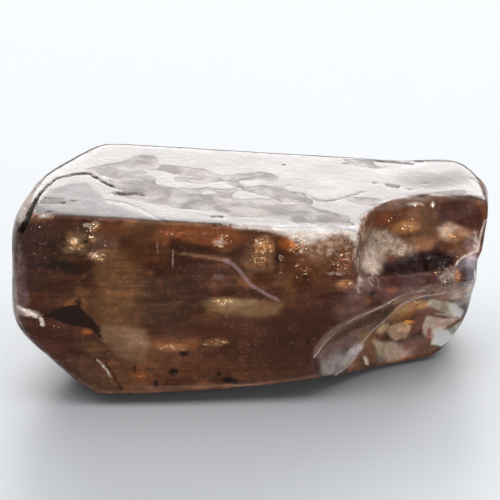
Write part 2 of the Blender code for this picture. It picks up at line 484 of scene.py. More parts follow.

# %% [markdown]
# ## Lines: cracks, edges and healed splits
# A line is kept as a distance and not as a painted mark. The distance runs
# evenly over the net, so the material can cut it off at any width and the
# line stays sharp between two points of the net. Dark lines are open cracks,
# coloured with the shade inside them, and painted shade under overhangs. Pale
# lines are chipped ridges and healed splits, with painted highlights where
# they catch the light.

# %% Dark lines: half width in millimetres, then points along them
OPEN_CRACK = [
    (-8.34, 6.72), (-8.16, 7.1), (-8.02, 7.52), (-7.89, 7.87), (-7.76, 8.17), (-7.56, 8.5),
    (-7.22, 8.86), (-6.68, 9.05), (-6.05, 9.1), (-5.58, 8.8), (-5.02, 8.52),
]
DARK_LINES = (
    (0.034, [(-5.05, 8.25), (-4.64, 8.23), (-4.3, 8.26), (-3.9, 8.2)]),
    (0.014, [(1.96, 8.26), (2.4, 8.05), (2.74, 7.94), (3.2, 8.0), (3.7, 8.15), (4.25, 8.33)]),
    (0.004, [(-5.3, 7.98), (-4.68, 7.86), (-4.08, 7.66), (-3.55, 7.36), (-3.0, 7.04)]),
    (0.028, [(5.15, 8.66), (5.42, 8.62), (5.7, 8.6)]),
    (0.018, [(-1.42, 7.27), (-1.2, 7.3), (-1.0, 7.26)]), (0.018, [(-7.42, 7.46), (-7.2, 7.48)]),
    (0.012, [(4.62, 8.74), (4.8, 8.7)]), (0.012, [(5.95, 8.48), (6.14, 8.44)]),
    (0.012, [(6.6, 8.68), (6.7, 8.68)]), (0.04, [(4.9, 9.78), (5.6, 9.72), (6.25, 9.6)]),
    (0.022, [(-1.55, 4.2), (-0.9, 4.12), (-0.35, 4.07), (0.45, 4.02), (1.0, 3.93)]),
    (0.012, [(-5.45, 3.06), (-4.7, 2.98), (-3.9, 2.8)]),
    (0.06, [(-5.32, 1.36), (-5.1, 1.02), (-4.98, 0.62), (-4.76, 0.28)]),
    (0.012, [(-6.7, 4.95), (-6.0, 5.0), (-5.3, 4.93)]),
    (0.008, [(-6.5, 4.7), (-5.9, 4.74), (-5.4, 4.66)]),
    (0.022,
     [(4.22, 6.92), (4.2, 6.6), (4.0, 6.28), (3.96, 5.92), (4.12, 5.6), (4.07, 5.2), (4.33, 4.96)]),
    (0.016, [(4.62, 6.96), (4.6, 6.6), (4.42, 6.32), (4.24, 6.0)]),
    (0.03, [(4.2, 4.98), (4.84, 4.96), (5.9, 4.99), (7.15, 5.15), (7.6, 5.4)]),
    (0.016, [(5.14, 2.5), (5.3, 2.3), (5.62, 2.2), (6.07, 2.3), (6.44, 2.54)]),
    (0.018, [(8.55, 7.7), (8.62, 7.1), (8.4, 6.4), (8.05, 6.05)]),
    (0.02, [(-7.74, 3.3), (-7.4, 3.34), (-7.05, 3.12), (-6.6, 2.98)]),
    (0.02, [(7.74, 5.26), (7.72, 4.8), (7.84, 4.4)]),
)
print(len(DARK_LINES), "dark lines and the open crack")

# %% Pale lines, the lilac line with its painted sheen, and the dark patch, a painted dark reflection
PALE_LINES = (
    (0.016, [(2.36, 1.64), (2.88, 2.36), (3.61, 3.07), (4.34, 3.47), (5.18, 3.91), (5.91, 4.18),
      (6.63, 4.32)]),
    (0.014, [(3.14, 0.77), (3.69, 1.19), (4.09, 1.66), (4.32, 2.19), (4.67, 2.6), (5.1, 3.01),
      (5.74, 3.64), (6.5, 4.01), (7.46, 4.22)]),
    (0.034, [(-5.66, 1.56), (-5.5, 1.4), (-5.3, 1.14), (-5.18, 0.84)]),
    (0.01, [(-3.36, 6.3), (-3.37, 5.84)]), (0.01, [(-2.82, 5.96), (-2.84, 5.3)]),
    # The lines at the lower left corner, from x -8.56 to -7.62, are painted highlights.
    (0.075, [(-7.68, 3.24), (-7.62, 3.0)]), (0.06, [(-8.56, 3.7), (-8.2, 3.52), (-7.84, 3.36)]),
    (0.02, [(-8.5, 3.44), (-8.16, 3.34), (-7.8, 3.28)]),
    (0.03, [(7.72, 5.3), (7.8, 5.5), (8.03, 5.71), (8.57, 5.94)]),
    (0.024, [(8.57, 5.94), (8.66, 6.5), (8.84, 7.2)]),
    (0.02, [(7.1, 3.3), (7.5, 3.26), (8.02, 3.06)]),
    (0.016, [(8.44, 5.2), (8.58, 4.7), (8.6, 4.12), (8.36, 3.3)]),
)
# The lilac line is a low ridge whose colour is a painted sheen of the light above.
LILAC_SHEEN_LINE = [
    (-0.97, 5.6), (-0.64, 5.44), (-0.35, 5.12), (0.02, 4.6), (0.39, 4.36), (0.57, 4.24),
    (1.05, 3.96),
]
# The dark patch is a shallow pit whose colour is a painted dark reflection of the surroundings.
DARK_PIT_REFLECTION = [
    (-7.6, 3.34), (-7.2, 3.5), (-6.88, 3.7), (-6.5, 3.74), (-6.26, 3.82), (-6.05, 3.44),
    (-5.6, 2.9), (-5.42, 2.37), (-5.75, 2.76), (-6.14, 2.92), (-6.76, 3.02), (-7.26, 3.26),
]
print(len(PALE_LINES), "pale lines")

# %% Distances to the lines
FAR = 1.0


def nearest_line(lines):
    """Smallest of (distance - half width) over the lines, and FAR on the stone's far side."""
    gap = np.full(len(skin), FAR)
    for number, (half_width, path) in enumerate(lines):
        gap = np.minimum(gap, stroke(path, 0.08, number)[0] - half_width)
    return np.where(near_side > 0.05, gap, FAR)


dark_gap = nearest_line(DARK_LINES)
pale_gap = nearest_line(PALE_LINES)
crack_gap, crack_along = stroke(OPEN_CRACK, 0.06, 2)
crack_half = 0.035 + 0.10 * soft_step(0.42, 0.10, crack_along)
crack_gap = np.where(near_side > 0.1, crack_gap - crack_half, FAR)
lilac_sheen_gap = np.where(near_side > 0.3, stroke(LILAC_SHEEN_LINE, 0.05, 1)[0] - 0.05, FAR)
pit_reflection_gap = np.where(near_side > 0.3, outline(DARK_PIT_REFLECTION, 0.06) - 0.03, FAR)
print("points in the open crack:", (crack_gap < 0).sum(), "and in the ink patch:", (pit_reflection_gap < 0).sum())

# %% [markdown]
# ## Islands on the top face
# The top face was etched, then partly polished by wear. It is smooth but for
# patches of duller, browner ground, with small smooth islands left in them,
# low steps round those and thin dark outlines along the steps, which are
# painted shade. The outline is one level of a slow random field, like a coast
# on a map. Ovals lower the field where the bare ground is and raise it again
# for the islands.

# %% Bare ground and islands: x, sight height, radii, slant
BARE_GROUND = (
    (-1.75, 8.0, 2.6, 0.46, -12), (-4.68, 8.59, 0.34, 0.12, 0), (-4.62, 9.42, 0.8, 0.26, 10),
    (-0.5, 8.82, 1.2, 0.2, -6), (0.46, 9.02, 0.6, 0.16, 0), (1.05, 8.24, 1.0, 0.17, -14),
    (0.49, 7.7, 1.0, 0.34, 0), (2.2, 7.65, 0.8, 0.27, 0), (4.1, 7.95, 0.6, 0.16, 0),
    (2.9, 7.2, 0.8, 0.3, 0), (-3.0, 9.3, 0.9, 0.12, -8), (6.4, 8.05, 1.4, 0.1, 12),
)
ISLANDS = (
    (-1.55, 8.27, 0.38, 0.12, 0), (-1.05, 8.63, 0.44, 0.16, 0), (-0.26, 8.13, 0.48, 0.19, 0),
    (0.08, 8.77, 0.46, 0.1, 0), (0.42, 8.67, 0.72, 0.17, 0), (0.21, 8.1, 0.85, 0.1, 0),
    (1.46, 7.87, 0.42, 0.12, 0), (3.22, 7.7, 1.15, 0.25, -3), (0.33, 7.08, 1.05, 0.2, 0),
    (3.09, 8.63, 0.8, 0.3, 0), (-2.6, 8.62, 0.8, 0.14, -6),
)
SMOOTH_STRIP = [(-5.44, 8.17), (-3.93, 7.67), (-2.68, 7.31), (-0.79, 7.31), (0.46, 7.02)]
LEFT_FACET = [
    (-8.13, 7.02), (-7.88, 7.67), (-7.44, 8.38), (-6.76, 8.7), (-6.06, 8.7), (-5.56, 8.31),
    (-5.19, 7.88), (-4.18, 7.52), (-3.12, 7.02),
]
print(len(BARE_GROUND), "ovals of bare ground,", len(ISLANDS), "islands")

# %% The field that the islands are cut from
ISLAND_LEVEL = 0.50
flat = np.column_stack([x * 0.5, y, np.zeros_like(x)])
island_field = ISLAND_LEVEL + 0.15 + 0.80 * (layers(flat, 0.80, 4, 3.1) - 0.5)
for number, (cx, cv, rx, rv, slant) in enumerate(BARE_GROUND):
    island_field -= 0.40 * oval((cx, cv), (1.15 * rx, 1.25 * rv), slant, 1.2, 0.9, number)
for number, (cx, cv, rx, rv, slant) in enumerate(ISLANDS):
    island_field += 0.40 * oval((cx, cv), (rx, rv), slant, 0.9, 0.4, number)
island_field += 0.30 * soft_step(0.30, 0.10, stroke(SMOOTH_STRIP, 0.10, 1)[0])
facet = soft_step(0.05, -0.10, outline(LEFT_FACET, 0.10, 2)) * on_top
islands = soft_step(ISLAND_LEVEL - 0.02, ISLAND_LEVEL + 0.02, island_field) * on_top
print("islands cover %.2f of the top" % (islands.sum() / on_top.sum()))

# %% [markdown]
# ## Relief of the skin
# Each kind of place has its own relief: hillocks everywhere, a step round
# the islands, fine level growth lines on the front, ripples in the
# shell-shaped breaks, crumbs in the notch, and nicks along the edges. All of
# it is a height in millimetres, added along the outward direction.

# %% What the relief is made of
GROWTH_STEP = 0.31
RIPPLE_STEP = 0.9
RING_STEP = 0.42
growth_lines = np.sin(2 * np.pi * z / GROWTH_STEP + 2.5 * noise(skin * (0.25, 1, 1), 1.1, 2.0))
hillocks = layers(skin, 1.9, 3, 9.0) - 0.5
ripple_reach = np.linalg.norm(skin - np.array([3.0, -4.2, 2.9]), axis=1)
ripples = np.sin(2 * np.pi * ripple_reach / RIPPLE_STEP + 3.0 * noise(skin, 1.2, 4.0))
grain = layers(skin, 0.30, 2, 6.0) - 0.5
lumps = layers(skin, 0.95, 3, 21.0) - 0.5
nicks = soft_step(0.60, 0.78, layers(skin, 0.50, 2, 8.0)) * soft_step(0.08, 0.20, edge_share)
back_chips = np.zeros(len(skin))
rings = np.zeros(len(skin))
for name in ("back_chip_low", "back_chip_right", "left_back_chip"):
    centre, radii = BREAKS[name]
    inside = soft_step(0.14, 0.05, np.abs(ellipsoid(skin, centre, radii)))
    start = np.array(centre) + np.array([0.5, -0.8, 0.6]) * radii
    ring_reach = np.linalg.norm(skin - start, axis=1)
    rings += inside * np.sin(2 * np.pi * ring_reach / RING_STEP + 3.0 * noise(skin, 0.9, 5.0))
    back_chips = np.maximum(back_chips, inside)
crust = oval((7.42, 4.75), (0.36, 0.55), 0, 0.6, 0.6, 3) * near_side * (1.0 - on_top)
bulge = oval((-5.30, 5.95), (0.46, 0.60), 0, 0.5, 0.0) * on_front
hummock = oval((7.30, 9.35), (1.30, 0.55), 8, 1.2, 0.0) * soft_step(6.0, 6.4, z)
print("share of the skin with nicks: %.3f" % nicks.mean())

# %% Add up the relief, in millimetres
relief = 0.070 * hillocks * (1.0 - 0.4 * on_top)
relief += 0.006 * (islands - on_top)
relief += 0.0035 * growth_lines * on_front
relief += 0.0030 * ripples * in_chips + 0.0060 * rings
relief += 0.30 * lumps * in_notch * soft_step(4.9, 5.6, sight) + 0.040 * grain * in_notch
relief += 0.10 * lumps * in_inner_chip + 0.012 * grain * on_ledge
relief += 0.16 * (layers(skin, 0.33, 3, 1.0) - 0.5) * crust
relief += 0.05 * bulge + 0.12 * hummock
relief -= 0.24 * soft_step(0.03, -0.05, crack_gap + 0.03)
relief -= 0.030 * soft_step(0.04, -0.02, dark_gap) * (1.0 - in_chips)
relief += 0.020 * soft_step(0.05, -0.02, pale_gap) * (1.0 - in_inner_chip)
relief -= 0.06 * nicks
# The resting face stays flat, so the relief fades out above it.
relief *= soft_step(0.06, 0.35, z - FOOT)

fine = skin + outward * relief[:, None]
fine[:, 2] = np.maximum(fine[:, 2], FOOT)
print("relief from %.3f to %.3f mm" % (relief.min(), relief.max()))

# %% [markdown]
# ## Clouds of colour
# Inside the brown lie lighter and darker clouds: honey where the crystal is
# least coloured, ember red along old splits, olive and purple where
# radiation from traces of uranium has changed it. A painter would lay them
# in one over another, and so do these cells. Each cloud is an oval in the
# sight plane with a rim that wanders, and its colour is the one it has when
# it is seen in the shade of the front. Shapes with a clear outline are laid
# over the clouds. One painted texture would be quicker, but it would have to
# be unwrapped, and it would blur where a chip starts.

# %% Clouds on the front: x, sight height, radii, slant, softness, strength, colour
FRONT_CLOUDS = (
    # The lilac-grey band at x -8.5 is a painted reflection on the rounded left edge.
    (-8.0, 6.1, 0.8, 1.3, 0, 0.6, 0.9, "3c251e"), (-8.5, 4.35, 0.34, 1.4, 0, 0.8, 0.9, "685052"),
    (-7.1, 4.7, 1.2, 0.5, -10, 0.8, 0.7, "482b1e"), (-6.9, 2.1, 1.6, 1.3, -35, 0.7, 0.85, "46281f"),
    (-7.0, 5.95, 0.4, 0.55, 0, 0.8, 0.85, "341f10"), (-1.8, 5.16, 0.7, 0.36, 0, 0.9, 0.8, "361f10"),
    (-6.24, 6.25, 0.46, 0.52, 0, 0.7, 0.9, "745a40"),
    (-5.3, 5.95, 0.46, 0.64, 0, 0.25, 0.9, "644c42"), (-4.8, 4.4, 0.8, 1.7, 5, 0.9, 0.95, "6a4a30"),
    (-3.8, 6.1, 0.95, 0.7, 0, 0.8, 0.85, "45270f"), (-5.0, 6.75, 0.7, 0.4, 0, 0.7, 0.7, "5a3116"),
    (-2.9, 3.7, 1.4, 1.1, 0, 0.9, 0.8, "402c22"), (-2.2, 4.3, 0.55, 0.6, 0, 0.9, 0.7, "3b251b"),
    (-1.8, 6.45, 1.6, 0.46, -3, 0.8, 0.85, "7a4427"), (-1.3, 5.0, 0.9, 0.5, 0, 0.8, 0.6, "4e332c"),
    (-1.15, 4.95, 0.2, 0.14, 0, 0.6, 0.8, "7a6460"), (0.4, 5.5, 0.7, 0.88, 0, 0.6, 0.95, "72503a"),
    (0.45, 4.82, 0.5, 0.28, 0, 0.6, 0.85, "3e1d08"), (0.5, 6.1, 0.36, 0.5, 0, 0.7, 0.8, "9a7455"),
    (1.02, 5.9, 0.15, 0.7, -5, 0.6, 0.85, "3a1e0e"),
    (1.62, 6.28, 0.58, 0.46, 0, 0.7, 0.95, "744016"), (2.1, 5.1, 1.0, 0.85, 0, 0.8, 0.8, "5a331c"),
    (1.9, 4.75, 0.38, 0.36, 0, 0.8, 0.8, "3e1d0a"), (2.7, 5.9, 0.75, 0.42, 20, 0.8, 0.85, "755038"),
    (3.3, 5.78, 0.26, 0.24, 0, 0.8, 0.8, "4e2b17"),
    (3.52, 5.35, 0.42, 0.42, 0, 0.7, 0.85, "7c5040"), (3.5, 4.6, 0.34, 0.25, 0, 0.8, 0.9, "95694c"),
    (3.95, 4.2, 0.4, 0.6, -20, 1.0, 0.85, "86686a"), (2.6, 3.6, 1.8, 0.8, 15, 0.9, 0.8, "44271e"),
    (3.7, 3.6, 0.6, 0.5, 30, 0.8, 0.75, "644a44"), (-1.0, 2.8, 1.6, 0.5, 0, 0.9, 0.6, "4b2d21"),
    (1.4, 2.0, 2.3, 1.4, 10, 0.9, 0.9, "3b231a"), (-2.85, 2.07, 0.58, 0.18, 0, 0.7, 0.9, "7c583e"),
    (-1.25, 2.25, 0.42, 0.16, 0, 0.7, 0.85, "70503a"),
    (-5.75, 2.0, 0.48, 0.36, 0, 0.8, 0.8, "644831"),
    (-6.05, 1.2, 0.8, 0.4, -40, 0.8, 0.7, "5c4032"), (-2.4, 1.3, 1.5, 0.5, 0, 0.8, 0.75, "5d3827"),
    (-0.3, 0.9, 1.5, 0.4, 0, 0.8, 0.65, "543624"), (-5.98, 2.7, 0.17, 0.1, 0, 0.7, 0.9, "96532e"),
    # The pale line at sight height 0.48 is painted light along the lit bottom edge.
    (-0.5, 0.48, 4.2, 0.05, 1, 0.8, 0.7, "8b7462"),
    # The next three small cream spots are painted highlights.
    (-6.38, 6.33, 0.15, 0.13, 0, 1.0, 0.85, "c4ae92"),
    (-5.6, 7.0, 0.17, 0.12, 0, 0.9, 0.75, "b09a7c"),
    (-5.72, 5.78, 0.2, 0.13, 0, 1.0, 0.6, "a4917f"),
    # The grey band at x -8.66 is a painted reflection on the rounded left edge.
    (-6.6, 6.0, 0.24, 0.12, 20, 0.9, 0.7, "8c7050"), (-8.66, 3.9, 0.12, 0.9, 0, 0.9, 0.8, "9a8a8c"),
    (-7.4, 1.6, 0.9, 0.6, -42, 0.8, 0.6, "54342c"),
)
print(len(FRONT_CLOUDS), "clouds on the front")

# %% Clouds in the notch and on its ledge
NOTCH_CLOUDS = (
    (6.5, 6.2, 0.7, 0.36, 0, 0.9, 0.8, "80583f"), (7.25, 6.1, 0.4, 0.22, 0, 0.7, 0.85, "4c2414"),
    (5.3, 7.3, 0.8, 0.32, 20, 0.9, 0.9, "5e3018"), (4.4, 6.4, 0.2, 0.6, -14, 0.6, 0.9, "6a4a34"),
    (5.9, 6.95, 0.6, 0.26, 10, 0.9, 0.9, "865a32"), (6.6, 6.95, 0.4, 0.3, 0, 0.9, 0.8, "573925"),
    (6.3, 7.45, 0.4, 0.25, 0, 0.9, 0.8, "6e4a36"), (8.1, 6.75, 0.4, 0.3, 0, 0.8, 0.9, "a07a66"),
    (8.36, 6.15, 0.26, 0.34, 0, 0.8, 0.9, "86686a"), (5.3, 5.45, 0.44, 0.26, 0, 0.8, 0.9, "74402c"),
    (6.0, 7.95, 1.1, 0.16, 14, 0.9, 0.9, "6c564c"), (7.7, 8.25, 1.2, 0.16, 2, 0.9, 0.9, "5e4c48"),
    (4.62, 5.6, 0.4, 0.8, -8, 1.1, 0.95, "9e8d82"), (5.1, 6.3, 0.6, 0.4, -20, 1.1, 0.9, "8c7b6c"),
    (5.75, 5.95, 0.5, 0.3, -15, 1.1, 0.8, "80695b"),
)
LEDGE_CLOUDS = (
    (4.5, 4.24, 0.18, 0.12, 0, 0.8, 0.8, "4c3d40"),
    (5.28, 4.37, 0.24, 0.12, 0, 0.8, 0.85, "7d4e3c"), (6.4, 4.42, 0.9, 0.14, 4, 0.8, 0.8, "5e4840"),
    (6.2, 4.72, 1.2, 0.2, 4, 0.9, 0.95, "3e2320"), (4.2, 4.6, 0.3, 0.25, 0, 0.9, 0.7, "7c6460"),
    (7.42, 4.75, 0.42, 0.6, 0, 0.6, 0.8, "5c4a44"),
)
print(len(NOTCH_CLOUDS) + len(LEDGE_CLOUDS), "clouds in the notch and on the ledge")

# %% Clouds in the chips and in the clear lobe at the right end
CHIP_CLOUDS = (
    (3.2, 1.3, 0.7, 0.4, 40, 0.9, 0.9, "74706f"), (4.0, 1.85, 0.75, 0.16, 50, 0.9, 0.9, "969292"),
    (5.4, 3.72, 0.9, 0.16, 18, 0.9, 0.85, "7a6052"), (5.55, 1.7, 0.7, 0.35, 15, 0.8, 0.9, "8a7e72"),
    (4.5, 2.3, 0.3, 0.3, 40, 0.8, 0.9, "6a5030"), (5.1, 2.75, 0.3, 0.16, 40, 0.7, 0.9, "9a8468"),
    (5.9, 3.4, 0.6, 0.3, 20, 0.8, 0.9, "7e5430"), (2.34, 1.3, 0.24, 0.6, 10, 0.8, 0.95, "2a1812"),
)
LOBE_CLOUDS = (
    (8.1, 4.2, 0.9, 1.6, 0, 0.9, 1.0, "565259"), (7.96, 4.84, 0.2, 0.44, -8, 0.7, 0.95, "3e241e"),
    (7.74, 4.84, 0.1, 0.36, 0, 0.8, 0.8, "7c5632"), (8.34, 5.5, 0.26, 0.3, 0, 0.8, 0.8, "8e8c92"),
    (8.4, 4.2, 0.18, 0.5, 0, 0.8, 0.8, "aeacb0"), (8.0, 3.95, 0.3, 0.25, 0, 0.8, 0.8, "948e8c"),
)
print(len(CHIP_CLOUDS) + len(LOBE_CLOUDS), "clouds in the chips and the lobe")

# %% Clouds on the top, and dark specks: x, sight height, radii
TOP_CLOUDS = (
    (-4.62, 9.42, 0.9, 0.34, 10, 1.0, 0.7, "4a3c28"),
    (1.05, 8.24, 1.1, 0.2, -14, 0.9, 0.8, "442a20"), (-5.6, 8.95, 0.4, 0.14, 0, 0.9, 0.7, "34302e"),
    (0.46, 9.02, 0.6, 0.18, 0, 0.9, 0.7, "3e2e26"), (-6.2, 8.4, 0.9, 0.2, 0, 0.9, 0.5, "4a4a50"),
)
SPECKS = (
    (-4.29, 1.2, 0.06, 0.13), (-2.84, 1.07, 0.15, 0.13), (-3.52, 0.58, 0.08, 0.12),
    (-2.46, 1.81, 0.15, 0.09), (-1.17, 0.99, 0.08, 0.07), (-0.8, 0.74, 0.18, 0.1),
    (-0.55, 0.66, 0.1, 0.08), (-0.09, 1.11, 0.05, 0.05), (-6.78, 6.46, 0.08, 0.06),
    (-5.98, 6.3, 0.08, 0.05), (1.98, 4.95, 0.06, 0.06), (2.15, 2.3, 0.07, 0.05),
    (-6.3, 3.92, 0.1, 0.08), (4.5, 4.26, 0.1, 0.08), (1.0, 5.62, 0.06, 0.1),
    (-7.1, 5.2, 0.09, 0.05),
)
print(len(TOP_CLOUDS), "clouds on the top and", len(SPECKS), "specks")

# %% Shapes on the front: softness of the rim, strength, colour, then the outline
FRONT_SHAPES = (
    (0.14, 0.95, "765a46", [(-5.45, 2.98), (-4.66, 2.94), (-3.8, 2.74), (-3.66, 2.2), (-4.06, 1.44),
      (-5.0, 1.8), (-5.5, 2.39)]),
    (0.2, 0.8, "8a6c58", [(-4.6, 2.8), (-3.9, 2.66), (-3.7, 2.2), (-4.2, 2.0), (-4.6, 2.3)]),
    (0.14, 0.85, "724426",
     [(-4.4, 1.16), (-3.95, 1.36), (-3.77, 0.95), (-3.63, 0.74), (-4.19, 0.62), (-4.45, 0.75)]),
    (0.16, 0.95, "84674c", [(-1.75, 3.9), (-1.2, 4.06), (-0.6, 4.04), (0.39, 3.96), (1.2, 3.8),
      (0.95, 3.46), (0.2, 3.36), (-0.83, 3.38), (-1.5, 3.62)]),
    (0.16, 0.8, "ac9070", [(-1.4, 3.98), (-0.7, 4.02), (0.1, 3.92), (-0.2, 3.78), (-1.1, 3.8)]),
    (0.1, 0.8, "b0886a",
     [(-2.46, 5.84), (-1.73, 5.79), (-0.75, 5.66), (-0.75, 5.58), (-1.73, 5.72)]),
    (0.12, 0.85, "2c1509",
     [(-2.9, 6.5), (-2.2, 6.3), (-1.2, 6.02), (-1.1, 5.86), (-2.4, 5.88), (-3.0, 6.1)]),
    (0.12, 1.0, "22130a", [(-7.4, 5.66), (-6.72, 5.56), (-6.29, 5.4), (-5.72, 5.21), (-6.11, 5.02),
      (-6.73, 5.12), (-7.3, 5.34)]),
)
print(len(FRONT_SHAPES), "shapes on the front")

# %% Shapes in the notch
NOTCH_SHAPES = (
    (0.16, 0.95, "3a1810", [(6.99, 7.84), (7.57, 8.05), (8.33, 8.05), (8.81, 7.56), (8.81, 6.9),
      (8.43, 6.74), (7.82, 7.02), (7.1, 7.14)]),
    # This near-black shape along the foot of the wall is painted shade in the crevice.
    (0.2, 1.0, "170200", [(4.9, 5.35), (5.4, 5.65), (6.13, 5.85), (6.67, 6.0), (7.23, 6.0),
      (7.73, 5.8), (7.72, 5.3), (7.15, 5.06), (5.9, 4.9), (4.84, 4.91)]),
    (0.16, 0.95, "a68e7c",
     [(7.09, 6.9), (7.48, 7.06), (7.8, 6.9), (7.6, 6.62), (7.43, 6.4), (7.15, 6.53)]),
    (0.18, 0.8, "946a44", [(5.65, 6.9), (5.96, 7.02), (6.34, 6.94), (6.3, 6.73), (5.84, 6.73)]),
    (0.16, 0.85, "7c583c", [(7.43, 6.53), (7.74, 6.69), (8.06, 6.61), (8.0, 6.36), (7.66, 6.33)]),
)
print(len(NOTCH_SHAPES), "shapes in the notch")

# %% Shapes in the chips
CHIP_SHAPES = (
    (0.06, 0.95, "46301f", [(2.5, 1.8), (3.05, 2.5), (3.72, 2.94), (4.44, 3.25), (5.22, 3.6),
      (5.84, 3.86), (5.09, 3.1), (4.3, 2.78), (3.52, 2.44), (3.01, 2.14), (2.62, 1.83)]),
    (0.06, 0.95, "8e6a48", [(6.51, 3.93), (7.19, 3.83), (6.94, 3.58), (6.43, 3.5), (5.76, 3.38),
      (5.26, 3.01), (5.56, 3.39), (6.01, 3.72)]),
    (0.05, 0.95, "a88c74", [(5.19, 2.54), (5.39, 2.79), (5.78, 2.95), (6.3, 2.78), (6.46, 2.56),
      (6.07, 2.31), (5.52, 2.2)]),
    (0.05, 1.0, "5a3a30",
     [(6.37, 3.16), (6.95, 3.32), (6.89, 2.85), (6.5, 2.52), (6.07, 2.36), (6.22, 2.78)]),
    (0.05, 0.95, "5a3e38",
     [(5.8, 2.11), (6.11, 2.31), (6.58, 2.39), (6.9, 2.09), (6.39, 1.89), (5.92, 1.69)]),
    (0.06, 0.95, "8c7e70",
     [(4.68, 2.26), (5.08, 2.13), (5.6, 2.11), (5.88, 1.73), (5.4, 1.49), (4.88, 1.71)]),
    (0.05, 0.9, "6e4e3c", [(4.41, 1.86), (4.72, 1.93), (4.92, 1.54), (4.73, 1.3), (4.41, 1.31)]),
    (0.04, 0.9, "c8b8a8", [(4.33, 1.57), (4.5, 1.56), (4.53, 1.22), (4.41, 1.23)]),
    (0.05, 1.0, "a8988f", [(6.84, 3.22), (7.35, 3.15), (8.02, 3.06), (7.64, 2.76), (7.25, 2.34),
      (6.8, 2.26), (6.66, 2.5), (6.7, 2.82)]),
    (0.05, 0.95, "a2aeaa",
     [(7.06, 2.3), (7.64, 2.64), (8.2, 3.02), (7.95, 2.36), (7.4, 1.88), (6.98, 2.01)]),
    (0.05, 0.95, "948e80",
     [(6.9, 3.95), (7.5, 3.75), (8.1, 3.25), (7.9, 3.12), (7.2, 3.5), (6.8, 3.7)]),
    (0.04, 0.95, "7c5048", [(6.84, 2.62), (6.98, 2.7), (7.06, 2.4), (6.94, 2.24), (6.84, 2.36)]),
    # This near-white shape is a painted highlight.
    (0.05, 1.0, "c8c8c0", [(7.5, 3.8), (8.0, 3.74), (8.24, 3.36), (8.13, 3.14), (7.81, 3.4)]),
    (0.04, 1.0, "e08c3c", [(5.86, 2.95), (6.05, 3.04), (6.27, 2.95), (6.06, 2.86)]),
)
print(len(CHIP_SHAPES), "shapes in the chips")

# %% [markdown]
# ## The white haze over the front edge, partly painted sheen
# Where the top rolls over into the front, wear has left a skin of fine
# scratches that scatters all colours alike, and its slope mirrors the light
# from the front and above. Both are painted as one white haze, so the haze is
# partly a painted reflection. It hangs over the middle of the edge like icing
# and ends in a thin veil. An outline gives its border, and the veil is a soft
# oval under it.

# %% Haze with its painted sheen, veil and the glassy places
HAZE_AND_SHEEN_LINE = [
    (-0.6, 6.92), (0.56, 6.84), (1.0, 6.72), (1.4, 6.56), (1.77, 6.36), (2.2, 6.3), (2.6, 6.46),
    (3.05, 6.66), (3.57, 6.7), (3.9, 6.3), (4.2, 6.4), (4.3, 7.6), (-0.6, 7.6),
]
haze_and_sheen = soft_step(0.18, -0.14, outline(HAZE_AND_SHEEN_LINE, 0.16, 1)) * near_side
haze_and_sheen *= 1.0 - on_top * soft_step(6.92, 7.12, sight)
saddle_veil = oval((2.75, 6.20), (1.10, 0.55), 0, 1.4, 0.6, 2) * on_front
chips_and_lobe = np.maximum(in_chips, on_lobe) * near_side
glassy = np.maximum(in_inner_chip, on_lobe) * near_side
print("hazy %.3f, glassy %.3f of the skin" % (haze_and_sheen.mean(), glassy.mean()))


# %% Ways to lay in colour
def mixed(colours, amount, hex_colour):
    """Move every colour toward one colour by its own amount."""
    aim = np.array(linear(hex_colour)[:3])
    return colours + np.clip(amount, 0.0, 1.0)[:, None] * (aim - colours)


def laid(colours, clouds, where):
    """Lay clouds over the colours, one after another, in one kind of place."""
    for number, (cx, cv, rx, rv, slant, soft, strength, colour) in enumerate(clouds):
        share = oval((cx, cv), (rx, rv), slant, soft, 1.0, number)
        colours = mixed(colours, strength * share * where, colour)
    return colours


def shaped(colours, shapes, where):
    """Lay shapes with an outline over the colours, in one kind of place."""
    for number, (soft, strength, colour, path) in enumerate(shapes):
        share = soft_step(soft, -soft, outline(path, 0.16, number))
        colours = mixed(colours, strength * share * where, colour)
    return colours


print("halfway to white:", mixed(np.zeros((1, 3)), np.array([0.5]), "ffffff")[0])


# %% Splits inside the glassy places
def shards(spacing, seed):
    """Each glassy point takes the factor of the nearest of many scattered seeds."""
    draw = np.random.default_rng(seed)
    grid = np.mgrid[2.0:9.4:spacing, 0.0:6.2:spacing].reshape(2, -1).T
    seeds = grid + spacing * draw.uniform(-0.5, 0.5, grid.shape)
    factors = draw.uniform(0.50, 1.60, len(seeds))[:, None] * draw.uniform(0.90, 1.10, (len(seeds), 3))
    chosen = np.flatnonzero(glassy > 0.0)
    q = (seen + 0.16 * wander[0][:, None])[chosen]
    gaps = ((q[:, None] - seeds) ** 2).sum(axis=2)
    out = np.ones((len(skin), 3))
    out[chosen] = factors[gaps.argmin(axis=1)]
    return out


SHARD_SIZE = 0.42
glassy_tones = shards(SHARD_SIZE, 5)
print("tones in the glassy places from %.2f to %.2f" % (glassy_tones.min(), glassy_tones.max()))

# %% [markdown]
# ## Lay in the colours
# The order is a painter's: the ground first, then each kind of place over
# it, and the edges and specks last. The far side has no drawn flaws, only
# the ground and slow, paler clouds.

